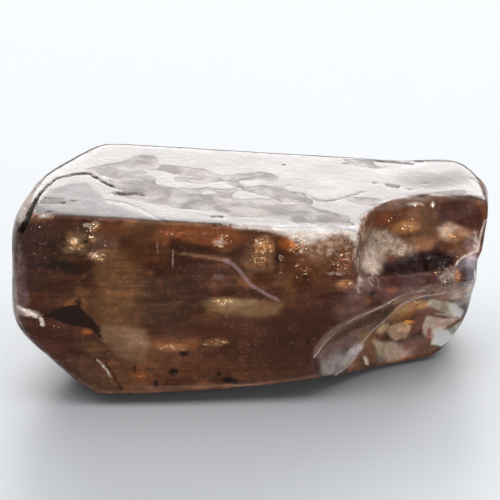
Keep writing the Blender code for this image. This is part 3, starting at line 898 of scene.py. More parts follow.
# %% The ground
stretched = skin * np.array([0.45, 1.0, 1.0])
colours = np.tile(np.array(linear("462a1e")[:3]), (len(skin), 1))
plain = 0.70 + 0.30 * near_side
colours = mixed(colours, plain * soft_step(0.40, 0.66, layers(stretched, 1.5, 4, 31.0)), "5e3f2b")
colours = mixed(colours, plain * soft_step(0.50, 0.68, layers(stretched, 0.9, 4, 37.0)), "3a1d10")
colours = mixed(colours, 0.7 * plain * soft_step(0.56, 0.72, layers(skin, 0.6, 3, 41.0)), "7d5236")
colours = mixed(colours, 0.7 * back_chips * soft_step(0.35, 0.60, layers(skin, 0.8, 3, 43.0)), "9a7256")
far_clouds = (1.0 - near_side) * soft_step(0.52, 0.66, layers(stretched, 2.6, 4, 87.0))
colours = mixed(colours, 0.8 * far_clouds, "8c6446")
print("mean colour of the ground, linear:", np.round(colours.mean(axis=0), 3))

# %% Front, notch and ledge
colours = laid(colours, FRONT_CLOUDS, on_front)
colours = shaped(colours, FRONT_SHAPES, on_front)
colours = mixed(colours, in_notch, "583624")
colours = laid(colours, NOTCH_CLOUDS, in_notch)
colours = shaped(colours, NOTCH_SHAPES, in_notch)
colours *= 1.0 + (1.3 * in_notch * (layers(skin, 0.34, 3, 83.0) - 0.5))[:, None]
colours = mixed(colours, on_ledge, "52332f")
colours = laid(colours, LEDGE_CLOUDS, on_ledge)
print("mean colour with the front and the notch:", np.round(colours.mean(axis=0), 3))

# %% Chips and lobe
# The outer chip's grey-lilac is partly a painted reflection of the pale floor that it faces.
colours = mixed(colours, in_outer_chip * near_side, "644e4a")
colours = laid(colours, CHIP_CLOUDS, in_chips * near_side)
colours = laid(colours, LOBE_CLOUDS, on_lobe)
colours = shaped(colours, CHIP_SHAPES, chips_and_lobe)
# The chips and the lobe face down and get little light, so their colours are raised by 0.45 here:
# painted light.
colours *= 1.0 + glassy[:, None] * (glassy_tones - 1.0) + 0.45 * chips_and_lobe[:, None]
print("mean colour with the chips:", np.round(colours.mean(axis=0), 3))

# %% Top and haze
ground_tone = soft_step(0.42, 0.60, layers(flat, 0.45, 4, 61.0))
colours = mixed(colours, on_top, "2c1a12")
colours = mixed(colours, on_top * ground_tone, "4e3524")
colours = laid(colours, TOP_CLOUDS, on_top)
colours = mixed(colours, islands, "4c3d34")
colours = mixed(colours, 0.5 * facet, "40383a")
# The white haze is partly a painted reflection of the light from the front and above.
colours = mixed(colours, 0.95 * haze_and_sheen * (1.0 - in_notch), "a8a8ab")
print("mean colour with the top:", np.round(colours.mean(axis=0), 3))

# %% Painted sheen on the left shoulder, painted shade on the back edge, and specks
# The upward-facing left shoulder is painted pale: a painted reflection of the light above.
shoulder_sheen = soft_step(0.50, 0.66, outward[:, 2]) * (1.0 - on_top) * soft_step(-7.0, -7.6, x) * near_side
colours = mixed(colours, 0.9 * shoulder_sheen * soft_step(0.35, 0.55, layers(skin, 0.7, 3, 71.0)), "b4aeac")
# The edge along the back of the top is painted dark: painted shade.
back_edge_shade = soft_step(0.20, 0.45, outward[:, 1]) * soft_step(0.15, 0.40, outward[:, 2]) * near_side
colours = mixed(colours, 0.8 * back_edge_shade, "3a2e28")
specks = np.zeros(len(skin))
for number, (cx, cv, rx, rv) in enumerate(SPECKS):
    specks = np.maximum(specks, oval((cx, cv), (1.3 * rx, 1.3 * rv), 0, 0.5, 0.5, number) * near_side)
colours = mixed(colours, 0.95 * specks, "120805")
print("mean colour of the whole skin:", np.round(colours.mean(axis=0), 3))

# %% [markdown]
# ## Frost and gold
# Two kinds of flaw are broken up finely. Frost is a crust of crushed, white
# grains where the notch broke and along worn edges; a few of its places are
# painted highlights. Gold is the flash of healed splits, painted as a glint:
# small facets, each with its own brightness. Each is kept as a field that is
# high where the flaw is dense, and the material breaks it up with a pattern
# that is finer than the net.

# %% Frost and gold: x, sight height, radii, slant, strength
# The frost at x -8.14, 6.2 and 6.88 is a painted highlight.
FROST = (
    (4.5, 5.6, 0.32, 0.85, 0, 0.54), (5.1, 6.35, 0.6, 0.4, -20, 0.44),
    (5.55, 6.05, 0.45, 0.36, -15, 0.45), (3.95, 5.95, 0.2, 0.9, 4, 0.62),
    (3.8, 6.7, 0.4, 0.4, 0, 0.7), (-8.14, 3.5, 0.42, 0.13, -16, 1.15),
    (7.42, 4.75, 0.34, 0.5, 0, 0.5), (6.2, 7.84, 0.3, 0.08, 0, 0.8),
    (6.88, 7.84, 0.08, 0.14, 0, 0.95), (8.5, 6.3, 0.12, 0.5, 0, 0.6),
    (-5.9, 6.95, 0.16, 0.12, 0, 0.8), (-1.08, 6.3, 0.26, 0.16, 0, 0.62),
    (3.1, 5.05, 0.3, 0.1, 0, 0.6), (4.0, 4.6, 0.12, 0.4, -10, 0.6), (-0.6, 7.02, 0.7, 0.1, 0, 0.7),
)
GOLD = (
    (-6.36, 6.2, 0.4, 0.34, 0, 0.6), (-6.42, 6.26, 0.16, 0.12, 0, 0.8),
    (-5.72, 6.85, 0.3, 0.2, 0, 0.9), (-5.7, 6.4, 0.14, 0.16, 0, 0.85),
    (-5.62, 5.75, 0.32, 0.22, 0, 0.85), (-1.1, 6.32, 0.4, 0.24, 0, 0.6),
    (0.5, 6.14, 0.4, 0.34, 0, 0.9), (0.28, 5.5, 0.4, 0.5, 0, 0.56), (1.7, 6.2, 0.46, 0.3, -20, 0.8),
    (1.15, 5.55, 0.1, 0.5, 0, 0.75), (3.42, 5.56, 0.5, 0.4, 0, 0.52),
    (3.45, 4.62, 0.36, 0.18, 0, 0.5), (-0.95, 3.94, 0.5, 0.14, 0, 0.72),
    (-2.85, 2.08, 0.6, 0.16, 0, 0.7), (-1.25, 2.25, 0.5, 0.16, 0, 0.66),
    (-4.0, 0.9, 0.36, 0.2, 0, 0.45), (6.0, 6.88, 0.4, 0.18, 0, 0.48),
    (7.75, 6.5, 0.38, 0.22, 0, 0.5), (7.82, 4.98, 0.12, 0.26, 0, 0.6),
    (6.06, 2.95, 0.2, 0.07, 0, 0.9), (6.4, 3.66, 0.7, 0.22, 10, 0.48),
    (5.4, 7.3, 0.5, 0.2, 20, 0.45), (-2.6, 6.6, 0.9, 0.22, -4, 0.42), (1.9, 5.1, 0.7, 0.5, 0, 0.4),
)
print(len(FROST), "frosted and", len(GOLD), "golden places")

# %% Fields of frost and gold
facing_us = near_side * (1.0 - on_top)


def heaped(rows):
    """The highest of several soft ovals at every point, each times its strength."""
    field = np.zeros(len(skin))
    for number, (cx, cv, rx, rv, slant, strength) in enumerate(rows):
        heap = oval((cx, cv), (rx, rv), slant, 1.4, 0.6, number)
        field = np.maximum(field, strength * heap * facing_us)
    return field


gold = heaped(GOLD)
frost = heaped(FROST)
frost = np.maximum(frost, np.maximum(2.0 * haze_and_sheen * (1.0 - haze_and_sheen), 0.40 * saddle_veil))
frost = np.minimum(frost, 1.0 - 0.7 * soft_step(0.7, 1.0, haze_and_sheen))
print("frosted %.3f, golden %.3f of the skin" % ((frost > 0.5).mean(), (gold > 0.5).mean()))

# %% [markdown]
# ## How clear and how dull
# More numbers go with every point: how much light passes into the stone
# there, how rough the skin is, how strongly it is streaked or grainy, and
# how worn. The lobe at the right end and the far side let in the most light.
# The top and the haze let in the least.

# %% Clear and dull places
clear = np.maximum(0.42, np.maximum(0.55 * on_lobe, 0.60 * (1.0 - near_side)))
clear = np.where(on_top > 0.5, 0.30, clear) * (1.0 - 0.8 * haze_and_sheen)
dull = 0.08 + 0.25 * in_notch + 0.12 * on_ledge + 0.30 * facet + 0.30 * saddle_veil
dull += 0.22 * soft_step(0.42, 0.60, layers(skin, 0.8, 3, 55.0)) * (1.0 - on_top)
dull -= 0.05 * on_lobe + 0.05 * (1.0 - near_side)
print("clear %.2f, dull %.2f on average" % (clear.mean(), dull.mean()))

# %% Streaked, grainy and worn places
streaked = on_front * (0.35 + 0.65 * soft_step(0.40, 0.60, layers(stretched, 2.0, 2, 47.0)))
streaked = np.maximum(streaked, 0.5 * (1.0 - near_side))
grainy = oval((-7.7, 6.1), (1.1, 1.4), 0, 0.8, 0.5, 0)
grainy = np.maximum(grainy, oval((3.5, 5.4), (0.6, 0.5), 0, 0.8, 0.5, 1))
grainy = np.maximum(grainy, oval((4.0, 2.75), (1.7, 0.22), 38, 0.8, 0.5, 2))
grainy = np.maximum(grainy * near_side, crust)
worn = soft_step(0.10, 0.24, edge_share)
worn *= 0.4 + 0.6 * soft_step(0.42, 0.58, layers(skin, 0.35, 3, 16.0))
worn *= (1.0 - in_chips) * (1.0 - in_hollow)
print("streaked %.2f, grainy %.2f, worn %.2f on average"
      % (streaked.mean(), grainy.mean(), worn.mean()))

# %% [markdown]
# ## The mesh with its masks
# All that was worked out goes onto the net of points: the places, one
# colour, and one number for each mask. The material reads them by name.
# An image laid over the stone would need unwrapping and would show seams;
# numbers that belong to the points need neither.


# %% Put the skin into the mesh
def fill(mesh, points, colours, **numbers):
    """Write points in metres, one colour and named numbers per point into a mesh."""
    mesh.vertices.foreach_set("co", to_metres(points).ravel())
    rgba = np.column_stack([colours, np.ones(len(colours))]).astype(np.float32)
    paint = mesh.attributes.new("paint", "FLOAT_COLOR", "POINT")
    paint.data.foreach_set("color", rgba.ravel())
    for name, values in numbers.items():
        layer = mesh.attributes.new(name, "FLOAT", "POINT")
        layer.data.foreach_set("value", np.asarray(values, np.float32))
    mesh.update()
    mesh.shade_smooth()


def show(name, mesh, material):
    """Link a mesh as a piece that rides with the stone."""
    piece = bpy.data.objects.new(name, mesh)
    bpy.context.collection.objects.link(piece)
    mesh.materials.clear()
    mesh.materials.append(material)
    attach(piece, "root")
    return piece


masks = dict(
    on_top=on_top, island_field=island_field, crack_gap=crack_gap, dark_gap=dark_gap,
    pale_gap=pale_gap, lilac_sheen_gap=lilac_sheen_gap, pit_reflection_gap=pit_reflection_gap, clear=clear, dull=dull,
    streaked=streaked, grainy=grainy, worn=worn, specks=specks, frost=frost, gold=gold,
    shaded=facing_us,
)
fill(skin_mesh, fine, colours, **masks)
print("skin:", len(skin_mesh.polygons) * 2, "triangles and", len(masks), "masks")

# %% [markdown]
# ## The stone's material
# Zircon is zirconium silicate, with a refractive index near 1.95, so it
# bends light far more than glass does. Light that goes through it loses blue
# first, then green, then red: that is the volume. Fine flaws just under the
# skin send a part of the light back, which is why clouds of colour are seen
# in the shade at all: that is the share of the surface that isn't clear.
# Patterns with real sizes add what is finer than the net: level streaks,
# upright strands, mottling and grit. The surface grew flat, was etched by
# fluids in the rock and then worn, so it has a wet gloss with duller patches.


# %% One helper for every node
def node(tree, kind, inputs=None, **settings):
    """Add a node, set its properties, and link or set each of its inputs."""
    made = tree.nodes.new(kind)
    for name, value in settings.items():
        setattr(made, name, value)
    for key, value in (inputs or {}).items():
        if isinstance(value, bpy.types.NodeSocket):
            tree.links.new(value, made.inputs[key])
        else:
            made.inputs[key].default_value = value
    return made


print("node:", node.__doc__)

# %% The masks that the stone's material reads
zircon = bpy.data.materials.new("zircon_brown")
zircon.use_nodes = True
tree = zircon.node_tree
tree.nodes.clear()
place = node(tree, "ShaderNodeTexCoord").outputs["Object"]
paint = node(tree, "ShaderNodeAttribute", attribute_name="paint").outputs["Color"]
mask = {}
for name in masks:
    mask[name] = node(tree, "ShaderNodeAttribute", attribute_name=name).outputs["Fac"]
print(len(mask), "masks")

# %% Patterns from real sizes
# Size in millimetres, stretch along x, y and z, detail, roughness, twist,
# and the two levels of the noise that become 0 and 1.
PATTERNS = {
    "streaks": (0.42, (0.13, 1.0, 1.0), 5.0, 0.62, 0.5, 0.44, 0.60),
    "fibres": (0.15, (0.10, 1.0, 1.0), 4.0, 0.60, 0.2, 0.47, 0.63),
    "strands": (0.24, (1.0, 1.0, 0.12), 4.0, 0.60, 0.3, 0.47, 0.64),
    "mottle": (0.62, (0.75, 1.0, 1.0), 5.0, 0.62, 0.6, 0.42, 0.62),
    "blots": (0.26, (1.0, 1.0, 1.0), 4.0, 0.60, 0.3, 0.50, 0.66),
    "grit": (0.085, (1.0, 1.0, 1.0), 3.0, 0.60, 0.0, 0.52, 0.68),
    "ragged": (0.16, (1.0, 1.0, 1.0), 3.0, 0.55, 0.0, 0.30, 0.70),
    "crumbs": (0.065, (1.0, 1.0, 1.0), 2.0, 0.60, 0.0, 0.40, 0.60),
}
pattern = {}
for number, (name, row) in enumerate(PATTERNS.items()):
    size, stretch, detail, rough, twist, low, high = row
    moved = node(tree, "ShaderNodeMapping",
                 {"Vector": place, "Scale": stretch, "Location": (0.013 * number, 0, 0)})
    field = node(tree, "ShaderNodeTexNoise",
                 {"Vector": moved.outputs[0], "Scale": per_mm(size), "Detail": detail,
                  "Roughness": rough, "Distortion": twist})
    levels = node(tree, "ShaderNodeMapRange",
                  {"Value": field.outputs["Fac"], "From Min": low, "From Max": high})
    pattern[name] = levels.outputs["Result"]
print(len(pattern), "patterns")

# %% Splinters of the healed splits
# Bent cells of a Voronoi pattern, each with random numbers of its own.
SPLINTER = 0.055
BEND = 0.3 * MM
slanted = node(tree, "ShaderNodeMapping",
               {"Vector": place, "Scale": (0.6, 1.0, 1.0), "Rotation": (0.0, 0.5, 0.0)})
bend = node(tree, "ShaderNodeTexNoise", {"Vector": place, "Scale": per_mm(0.25), "Detail": 2.0})
bent = node(tree, "ShaderNodeVectorMath",
            {0: bend.outputs["Color"], 1: (BEND, BEND, BEND), 2: slanted.outputs[0]},
            operation="MULTIPLY_ADD").outputs[0]
cells = node(tree, "ShaderNodeTexVoronoi",
             {"Vector": bent, "Scale": per_mm(SPLINTER), "Randomness": 1.0})
splinter = node(tree, "ShaderNodeSeparateColor", {"Color": cells.outputs["Color"]}).outputs
pattern["splinters"] = splinter["Blue"]
print("splinters about", SPLINTER, "mm across")

# %% Cut the lines
# Each line: its distance, how far the ragged pattern moves it, and the
# half width of its rim, in millimetres.
CUTS = {
    "crack": ("crack_gap", 0.05, 0.02), "dark": ("dark_gap", 0.05, 0.025),
    "pale": ("pale_gap", 0.03, 0.03), "lilac": ("lilac_sheen_gap", 0.04, 0.045),
    "ink": ("pit_reflection_gap", 0.08, 0.03),
}
cut = {}
for name, (gap, wobble, half_rim) in CUTS.items():
    moved = node(tree, "ShaderNodeMath", {0: pattern["ragged"], 1: wobble, 2: mask[gap]},
                 operation="MULTIPLY_ADD")
    inside = node(tree, "ShaderNodeMapRange",
                  {"Value": moved.outputs[0], "From Min": wobble / 2 - half_rim,
                   "From Max": wobble / 2 + half_rim, "To Min": 1.0, "To Max": 0.0})
    cut[name] = inside.outputs["Result"]
print("cut so far:", ", ".join(cut))

# %% Cut the islands and their thin rims
coast = node(tree, "ShaderNodeMath", {0: pattern["ragged"], 1: 0.03, 2: mask["island_field"]},
             operation="MULTIPLY_ADD").outputs[0]
above = node(tree, "ShaderNodeMapRange",
             {"Value": coast, "From Min": ISLAND_LEVEL, "From Max": ISLAND_LEVEL + 0.03})
over = node(tree, "ShaderNodeMath", {0: coast, 1: ISLAND_LEVEL + 0.012}, operation="SUBTRACT")
away = node(tree, "ShaderNodeMath", {0: over.outputs[0]}, operation="ABSOLUTE")
thin = node(tree, "ShaderNodeMapRange",
            {"Value": away.outputs[0], "From Min": 0.004, "From Max": 0.020,
             "To Min": 1.0, "To Max": 0.0})
broken = node(tree, "ShaderNodeMath", {0: thin.outputs[0], 1: pattern["mottle"]},
              operation="MULTIPLY")
cut["island"] = node(tree, "ShaderNodeMath", {0: above.outputs[0], 1: mask["on_top"]},
                     operation="MULTIPLY").outputs[0]
cut["rim"] = node(tree, "ShaderNodeMath", {0: broken.outputs[0], 1: mask["on_top"]},
                  operation="MULTIPLY").outputs[0]
etched = node(tree, "ShaderNodeMath", {0: mask["on_top"], 1: cut["island"]},
              operation="SUBTRACT").outputs[0]
print("cut so far:", ", ".join(cut))

# %% Break up the frost and the gold
# What breaks up the field, by how much, and the two levels that become 0
# and 1.
BROKEN_UP = {
    "frost": (pattern["ragged"], 0.60, 0.50, 1.30),
    "gold": (splinter["Red"], 0.70, 0.85, 1.10),
}
for name, (breaker, amount, low, high) in BROKEN_UP.items():
    moved = node(tree, "ShaderNodeMath", {0: breaker, 1: amount, 2: mask[name]},
                 operation="MULTIPLY_ADD")
    dense = node(tree, "ShaderNodeMapRange",
                 {"Value": moved.outputs[0], "From Min": low, "From Max": high})
    cut[name] = dense.outputs["Result"]
print("cut so far:", ", ".join(cut))

# %% Colour: the fine layers
# Each layer: pattern, mask, strength, how it is laid in, and its colour. A
# colour above 1 brightens what it multiplies.
LAYERS = (
    ("mottle", None, 0.55, "MULTIPLY", (0.50, 0.42, 0.36, 1.0)),
    ("streaks", "streaked", 0.52, "MULTIPLY", (0.42, 0.34, 0.28, 1.0)),
    ("fibres", "streaked", 0.42, "MULTIPLY", (2.20, 2.00, 1.80, 1.0)),
    ("strands", "streaked", 0.30, "MULTIPLY", (0.60, 0.52, 0.46, 1.0)),
    ("blots", None, 0.35, "MULTIPLY", (1.90, 1.75, 1.60, 1.0)),
    ("splinters", None, 0.30, "MULTIPLY", (0.62, 0.58, 0.54, 1.0)),
    ("grit", "grainy", 0.80, "MULTIPLY", (2.60, 2.50, 2.40, 1.0)),
    ("ragged", "grainy", 0.50, "MULTIPLY", (0.45, 0.38, 0.32, 1.0)),
    ("blots", "worn", 0.60, "MIX", linear("8c6c5c")),
)
base = paint
for what, where, strength, mode, colour in LAYERS:
    amount = node(tree, "ShaderNodeMath", {0: pattern[what], 1: strength},
                  operation="MULTIPLY").outputs[0]
    if where:
        amount = node(tree, "ShaderNodeMath", {0: amount, 1: mask[where]},
                      operation="MULTIPLY").outputs[0]
    base = node(tree, "ShaderNodeMix", {0: amount, 6: base, 7: colour},
                data_type="RGBA", blend_type=mode).outputs[2]
print(len(LAYERS), "fine layers")

# %% Colour: the golden splinters
# Each splinter's own random green value sets its tone; the few highest get a painted glint, a flash of
# cream.
hue = node(tree, "ShaderNodeMapRange",
           {"Value": splinter["Green"], "From Min": 0.10, "From Max": 0.60})
flash = node(tree, "ShaderNodeMapRange",
             {"Value": splinter["Green"], "From Min": 0.78, "From Max": 0.96})
amber = node(tree, "ShaderNodeMix",
             {0: hue.outputs[0], 6: (0.55, 0.48, 0.43, 1.0), 7: (1.8, 1.7, 1.5, 1.0)},
             data_type="RGBA")
base = node(tree, "ShaderNodeMix", {0: cut["gold"], 6: base, 7: amber.outputs[2]},
            data_type="RGBA", blend_type="MULTIPLY").outputs[2]
lit = node(tree, "ShaderNodeMath", {0: cut["gold"], 1: flash.outputs[0]},
           operation="MULTIPLY").outputs[0]
base = node(tree, "ShaderNodeMix", {0: lit, 6: base, 7: linear("c4ac8c")},
            data_type="RGBA").outputs[2]
print("nodes so far:", len(tree.nodes))

# %% Colour: frost and lines
crumb_colour = node(tree, "ShaderNodeMix",
                    {0: pattern["crumbs"], 6: linear("94847a"), 7: linear("c2b4ab")},
                    data_type="RGBA").outputs[2]
# In these colours the crack and the dark lines are painted shade, the pale and lilac lines carry
# painted highlights and sheen, the ink patch is a painted dark reflection, and some frost is a painted
# highlight.
LINES = (
    ("frost", 0.85, crumb_colour), ("lilac", 0.85, linear("9c7e86")),
    ("pale", 0.85, linear("d4c8c0")), ("dark", 0.85, linear("1a0c06")),
    ("ink", 0.97, linear("160c0a")), ("crack", 1.00, linear("100804")),
)
for name, strength, colour in LINES:
    amount = node(tree, "ShaderNodeMath", {0: cut[name], 1: strength},
                  operation="MULTIPLY").outputs[0]
    base = node(tree, "ShaderNodeMix", {0: amount, 6: base, 7: colour},
                data_type="RGBA").outputs[2]
print(len(LINES), "kinds of line")

# %% Colour: from the shade to the stone's own
# The clouds' colours are the ones seen in the shade of the front, where this
# share of the light arrives, a little less in red than in blue. Dividing by
# the share gives the stone's own colour.
SHADE = 0.56
own_colour = (1.0 / SHADE, 0.98 / SHADE, 0.92 / SHADE, 1.0)
base = node(tree, "ShaderNodeMix", {0: mask["shaded"], 6: base, 7: own_colour},
            data_type="RGBA", blend_type="MULTIPLY", clamp_result=True).outputs[2]
# The thin dark rims round the islands are painted shade at their low steps.
base = node(tree, "ShaderNodeMix", {0: cut["rim"], 6: base, 7: linear("2c1a12")},
            data_type="RGBA").outputs[2]
print("shade divided out:", np.round(own_colour, 2))

# %% How rough each part of the gloss is
spotty = node(tree, "ShaderNodeMath", {0: pattern["mottle"], 1: 0.10, 2: mask["dull"]},
              operation="MULTIPLY_ADD")
etched_spots = node(tree, "ShaderNodeMath", {0: etched, 1: pattern["mottle"]},
                    operation="MULTIPLY").outputs[0]
top_line = node(tree, "ShaderNodeMath", {0: cut["dark"], 1: mask["on_top"]},
                operation="MULTIPLY").outputs[0]
ROUGH_PARTS = (
    (etched, 0.22), (etched_spots, 0.14), (cut["rim"], 0.30), (cut["frost"], 0.25),
    (cut["crack"], 0.60), (top_line, 0.50),
)
dulled = spotty.outputs[0]
for part, amount in ROUGH_PARTS:
    dulled = node(tree, "ShaderNodeMath", {0: part, 1: amount, 2: dulled},
                  operation="MULTIPLY_ADD").outputs[0]
roughness = node(tree, "ShaderNodeMapRange",
                 {"Value": dulled, "From Min": 0.0, "From Max": 1.0,
                  "To Min": 0.03, "To Max": 0.80}).outputs["Result"]
print(len(ROUGH_PARTS), "parts add to the roughness")

# %% Where light gets in
# Crushed, split and etched places scatter the light before it gets deep.
closed = cut["ink"]
for part in (cut["crack"], cut["dark"], cut["frost"], cut["gold"], mask["specks"], etched):
    closed = node(tree, "ShaderNodeMath", {0: closed, 1: part}, operation="MAXIMUM").outputs[0]
opening = node(tree, "ShaderNodeMath", {0: closed, 1: -0.85, 2: 1.0},
               operation="MULTIPLY_ADD").outputs[0]
clearness = node(tree, "ShaderNodeMath", {0: mask["clear"], 1: opening},
                 operation="MULTIPLY").outputs[0]
print("nodes so far:", len(tree.nodes))

# %% The finest relief, which is too small for the net
steps = node(tree, "ShaderNodeBump",
             {"Height": cut["island"], "Strength": 0.35, "Distance": 0.01 * MM})
loose = node(tree, "ShaderNodeMath", {0: cut["frost"], 1: mask["grainy"]},
             operation="MAXIMUM").outputs[0]
crumb_height = node(tree, "ShaderNodeMath", {0: pattern["crumbs"], 1: loose},
                    operation="MULTIPLY").outputs[0]
crumbled = node(tree, "ShaderNodeBump",
                {"Height": crumb_height, "Normal": steps.outputs[0], "Strength": 0.6,
                 "Distance": 0.03 * MM})
pitted = node(tree, "ShaderNodeBump",
              {"Height": pattern["blots"], "Normal": crumbled.outputs[0],
               "Strength": 0.25, "Distance": 0.012 * MM})
print("finest relief: 0.01 to 0.03 mm")

# %% Zircon: gloss on top, colour in the volume
ZIRCON_IOR = 1.95
DRINK_PER_METRE = 200.0
surface = node(tree, "ShaderNodeBsdfPrincipled",
               {"Base Color": base, "Roughness": roughness, "Transmission Weight": clearness,
                "Normal": pitted.outputs[0], "IOR": ZIRCON_IOR, "Metallic": 0.0,
                "Specular Tint": linear("5c5653")})
drink = node(tree, "ShaderNodeVolumeAbsorption",
             {"Color": linear("a87a5c"), "Density": DRINK_PER_METRE})
node(tree, "ShaderNodeOutputMaterial",
     {"Surface": surface.outputs["BSDF"], "Volume": drink.outputs["Volume"]})

body = show("zircon_stone", skin_mesh, zircon)
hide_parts("zircon_crystal")
print("material", zircon.name, "with", len(tree.nodes), "nodes")

# %% [markdown]
# ## Sparkle
# Healed splits hold tiny flat faces that flash when the light is right. Each
# flake is a thin six-sided lozenge set into the skin, turned to catch the
# light from above, give or take a few degrees. One array of eight corners is
# scaled, turned and moved for all the flakes at once. A speckled texture
# would stay flat, where a real facet of its own lights up as a whole.

# %% Clusters of flakes: x, sight height, radii, how many, size
CLUSTERS = (
    (-6.4, 6.27, 0.07, 0.05, 4, 0.045), (-5.64, 6.95, 0.12, 0.1, 5, 0.04),
    (-5.66, 5.78, 0.14, 0.12, 6, 0.036), (-6.0, 6.45, 0.5, 0.45, 5, 0.026),
    (-5.2, 6.2, 0.3, 0.3, 3, 0.022), (-7.8, 6.3, 0.5, 0.8, 7, 0.022),
    (-8.15, 3.55, 0.26, 0.12, 8, 0.035), (-7.68, 3.06, 0.06, 0.08, 3, 0.04),
    (-7.2, 2.9, 0.25, 0.15, 2, 0.022), (0.5, 6.1, 0.26, 0.36, 7, 0.03),
    (0.15, 5.4, 0.2, 0.5, 3, 0.022), (1.11, 5.6, 0.05, 0.45, 3, 0.024),
    (1.7, 6.3, 0.42, 0.3, 7, 0.03), (3.42, 5.36, 0.32, 0.28, 6, 0.026),
    (-1.2, 6.6, 0.7, 0.25, 5, 0.026), (-0.9, 3.95, 0.2, 0.08, 3, 0.03),
    (-2.85, 2.08, 0.4, 0.1, 4, 0.028), (-1.25, 2.25, 0.3, 0.1, 3, 0.026),
    (4.55, 5.6, 0.3, 0.6, 6, 0.022), (6.23, 7.84, 0.1, 0.06, 3, 0.05),
    (6.88, 7.8, 0.06, 0.12, 4, 0.055), (7.45, 6.85, 0.2, 0.15, 4, 0.04),
    (6.03, 6.95, 0.25, 0.15, 5, 0.034), (7.62, 6.5, 0.18, 0.12, 4, 0.036),
    (5.2, 7.3, 0.25, 0.2, 3, 0.03), (7.4, 4.85, 0.28, 0.35, 8, 0.034),
    (8.05, 5.7, 0.2, 0.08, 2, 0.03), (6.06, 2.98, 0.14, 0.05, 3, 0.036),
)
CLUSTER_SPREAD = 0.6
GLINT_NORMAL = np.array([0.0, -0.46, 0.89])
GLINT_SPREAD = 0.16
FLAKE_LIFT = 0.004
chance = np.random.default_rng(11)
print(len(CLUSTERS), "clusters")


# %% The shape of a flake
def lozenges(centres, normals, sizes, flatness=0.22):
    """Six-sided double pyramids.

    Rim = centre + size (u cos a + 0.7 v sin a), tips = centre +- size flatness normal.
    """
    side = np.cross(normals, chance.normal(size=normals.shape))
    side /= np.linalg.norm(side, axis=1, keepdims=True)
    other = np.cross(normals, side)
    a = np.arange(6) * np.pi / 3
    ring = side[:, None] * np.cos(a)[:, None] + 0.7 * other[:, None] * np.sin(a)[:, None]
    rim = centres[:, None] + sizes[:, None, None] * ring
    thick = (sizes * flatness)[:, None, None] * normals[:, None]
    tips = centres[:, None] + thick * np.array([[1.0], [-1.0]])
    corners = np.concatenate([rim, tips], axis=1)
    n = np.arange(6)
    upper = np.column_stack([n, (n + 1) % 6, np.full(6, 6)])
    lower = np.column_stack([(n + 1) % 6, n, np.full(6, 7)])
    faces = np.concatenate([upper, lower])[None] + 8 * np.arange(len(centres))[:, None, None]
    return corners.reshape(-1, 3), faces.reshape(-1, 3)


print("a flake has 8 corners and 12 faces")


# %% Scatter the flakes
def scattered(clusters):
    """Points of the skin nearest to random spots of each cluster, and a size for each."""
    near = np.flatnonzero(near_side > 0.3)
    spots, sizes = [], []
    for cx, cv, rx, rv, count, size in clusters:
        spread = chance.normal(size=(count, 2)) * (CLUSTER_SPREAD * rx, CLUSTER_SPREAD * rv)
        spots.append(np.array([cx, cv]) + spread)
        sizes.append(size * chance.uniform(0.5, 1.5, count))
    nearest = [np.argmin(((seen[near] - spot) ** 2).sum(axis=1)) for spot in np.concatenate(spots)]
    return near[nearest], np.concatenate(sizes)


chosen, flake_sizes = scattered(CLUSTERS)
flake_normals = GLINT_NORMAL + GLINT_SPREAD * chance.normal(size=(len(chosen), 3))
flake_normals /= np.linalg.norm(flake_normals, axis=1, keepdims=True)
flake_centres = fine[chosen] + outward[chosen] * FLAKE_LIFT
flake_corners, flake_faces = lozenges(flake_centres, flake_normals, flake_sizes)
flake_corners[:, 2] = np.maximum(flake_corners[:, 2], FOOT)
flakes_mesh = bpy.data.meshes.new("sparkle_flakes")
flakes_mesh.from_pydata(to_metres(flake_corners).tolist(), [], flake_faces.tolist())
print("flakes:", len(chosen))

# %% The facets of a healed split
# They are zircon with a film of air or iron oxide behind them, which turns
# them into small mirrors, some pale and some golden. So most of their light
# is taken as a metal's, and slightly blurred.
sparkle = bpy.data.materials.new("healed_split_sparkle")
sparkle.use_nodes = True
glint_tree = sparkle.node_tree
glint_tree.nodes.clear()
spot = node(glint_tree, "ShaderNodeTexCoord").outputs["Object"]
tone = node(glint_tree, "ShaderNodeTexNoise",
            {"Vector": spot, "Scale": per_mm(0.5), "Detail": 2.0}).outputs["Fac"]
warm = node(glint_tree, "ShaderNodeMapRange",
            {"Value": tone, "From Min": 0.42, "From Max": 0.58}).outputs["Result"]
flake_colour = node(glint_tree, "ShaderNodeMix",
                    {0: warm, 6: linear("c98f55"), 7: linear("e9dccb")},
                    data_type="RGBA").outputs[2]
shine = node(glint_tree, "ShaderNodeBsdfPrincipled",
             {"Base Color": flake_colour, "Metallic": 0.7, "Roughness": 0.30, "IOR": ZIRCON_IOR})
node(glint_tree, "ShaderNodeOutputMaterial", {"Surface": shine.outputs["BSDF"]})
show("sparkle_flakes", flakes_mesh, sparkle)
print("material", sparkle.name, "with", len(glint_tree.nodes), "nodes")

# %% [markdown]
# ## The bench
# A pale, softly glossy board carries the stone, a hair below its resting
# face. A wide softbox stands behind, so the top face mirrors it and so does
# the board. Another is nearly overhead, and a third hangs high in front: it
# lights the front face, but only the rounded edges are turned so as to mirror
# it. A small one, low at the front right, puts the last gleam on the notch
# and the chips.

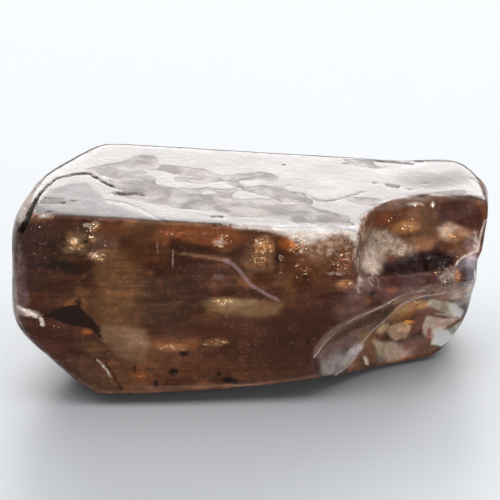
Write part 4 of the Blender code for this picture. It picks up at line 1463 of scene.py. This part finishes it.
# %% Floor
# Cast acrylic with a satin skin: white and even inside, and its thin gloss
# blurs the softbox behind the stone into a pale glow.
board = bpy.data.materials.new("pale_acrylic_board")
board.use_nodes = True
board_shader = board.node_tree.nodes["Principled BSDF"]
board_shader.inputs["Base Color"].default_value = linear("aaacae")
board_shader.inputs["Roughness"].default_value = 0.6
board_shader.inputs["Specular IOR Level"].default_value = 0.0
board_shader.inputs["Coat Weight"].default_value = 0.27
board_shader.inputs["Coat Roughness"].default_value = 0.34

HALF_BOARD = 1.5
BOARD_DROP = 2e-5
corners = [(-1, -1), (1, -1), (1, 1), (-1, 1)]
floor_mesh = bpy.data.meshes.new("floor")
floor_points = [(a * HALF_BOARD, b * HALF_BOARD, -BOARD_DROP) for a, b in corners]
floor_mesh.from_pydata(floor_points, [], [(0, 1, 2, 3)])
floor_mesh.materials.append(board)
floor = bpy.data.objects.new("floor", floor_mesh)
bpy.context.collection.objects.link(floor)
print("floor", 2 * HALF_BOARD, "m wide")


# %% Softboxes: azimuth and rise in degrees, reach and size in metres, radiance
def softbox(name, azimuth, rise, reach, size, radiance):
    """Area light on a sphere round the stone, turned to face it."""
    way = facing(azimuth, rise)
    lamp = bpy.data.lights.new(name, "AREA")
    lamp.shape = "RECTANGLE"
    lamp.size, lamp.size_y = size
    lamp.energy = radiance * np.pi * size[0] * size[1]
    holder = bpy.data.objects.new(name, lamp)
    holder.location = (AIM + way * reach).tolist()
    holder.rotation_euler = (np.radians(90.0 - rise), 0.0, np.radians(azimuth + 90.0))
    holder.visible_camera = False
    bpy.context.collection.objects.link(holder)


softbox("softbox_back", 86.0, 31.0, 0.62, (0.68, 0.40), 6.3)
softbox("softbox_above", 90.0, 77.0, 0.60, (0.70, 0.55), 1.7)
softbox("softbox_front", -90.0, 66.0, 0.70, (1.20, 0.35), 3.4)
softbox("softbox_low", -55.0, 13.0, 0.60, (0.50, 0.26), 2.6)
print(len(bpy.data.lights), "softboxes")

# %% The room's own light
world = bpy.data.worlds.new("studio")
world.use_nodes = True
room = world.node_tree.nodes["Background"].inputs
room["Color"].default_value = linear("f4f7ff")
room["Strength"].default_value = 0.35
bpy.context.scene.world = world
print("room light", room["Strength"].default_value)

# %% Finish
bpy.context.view_layer.update()
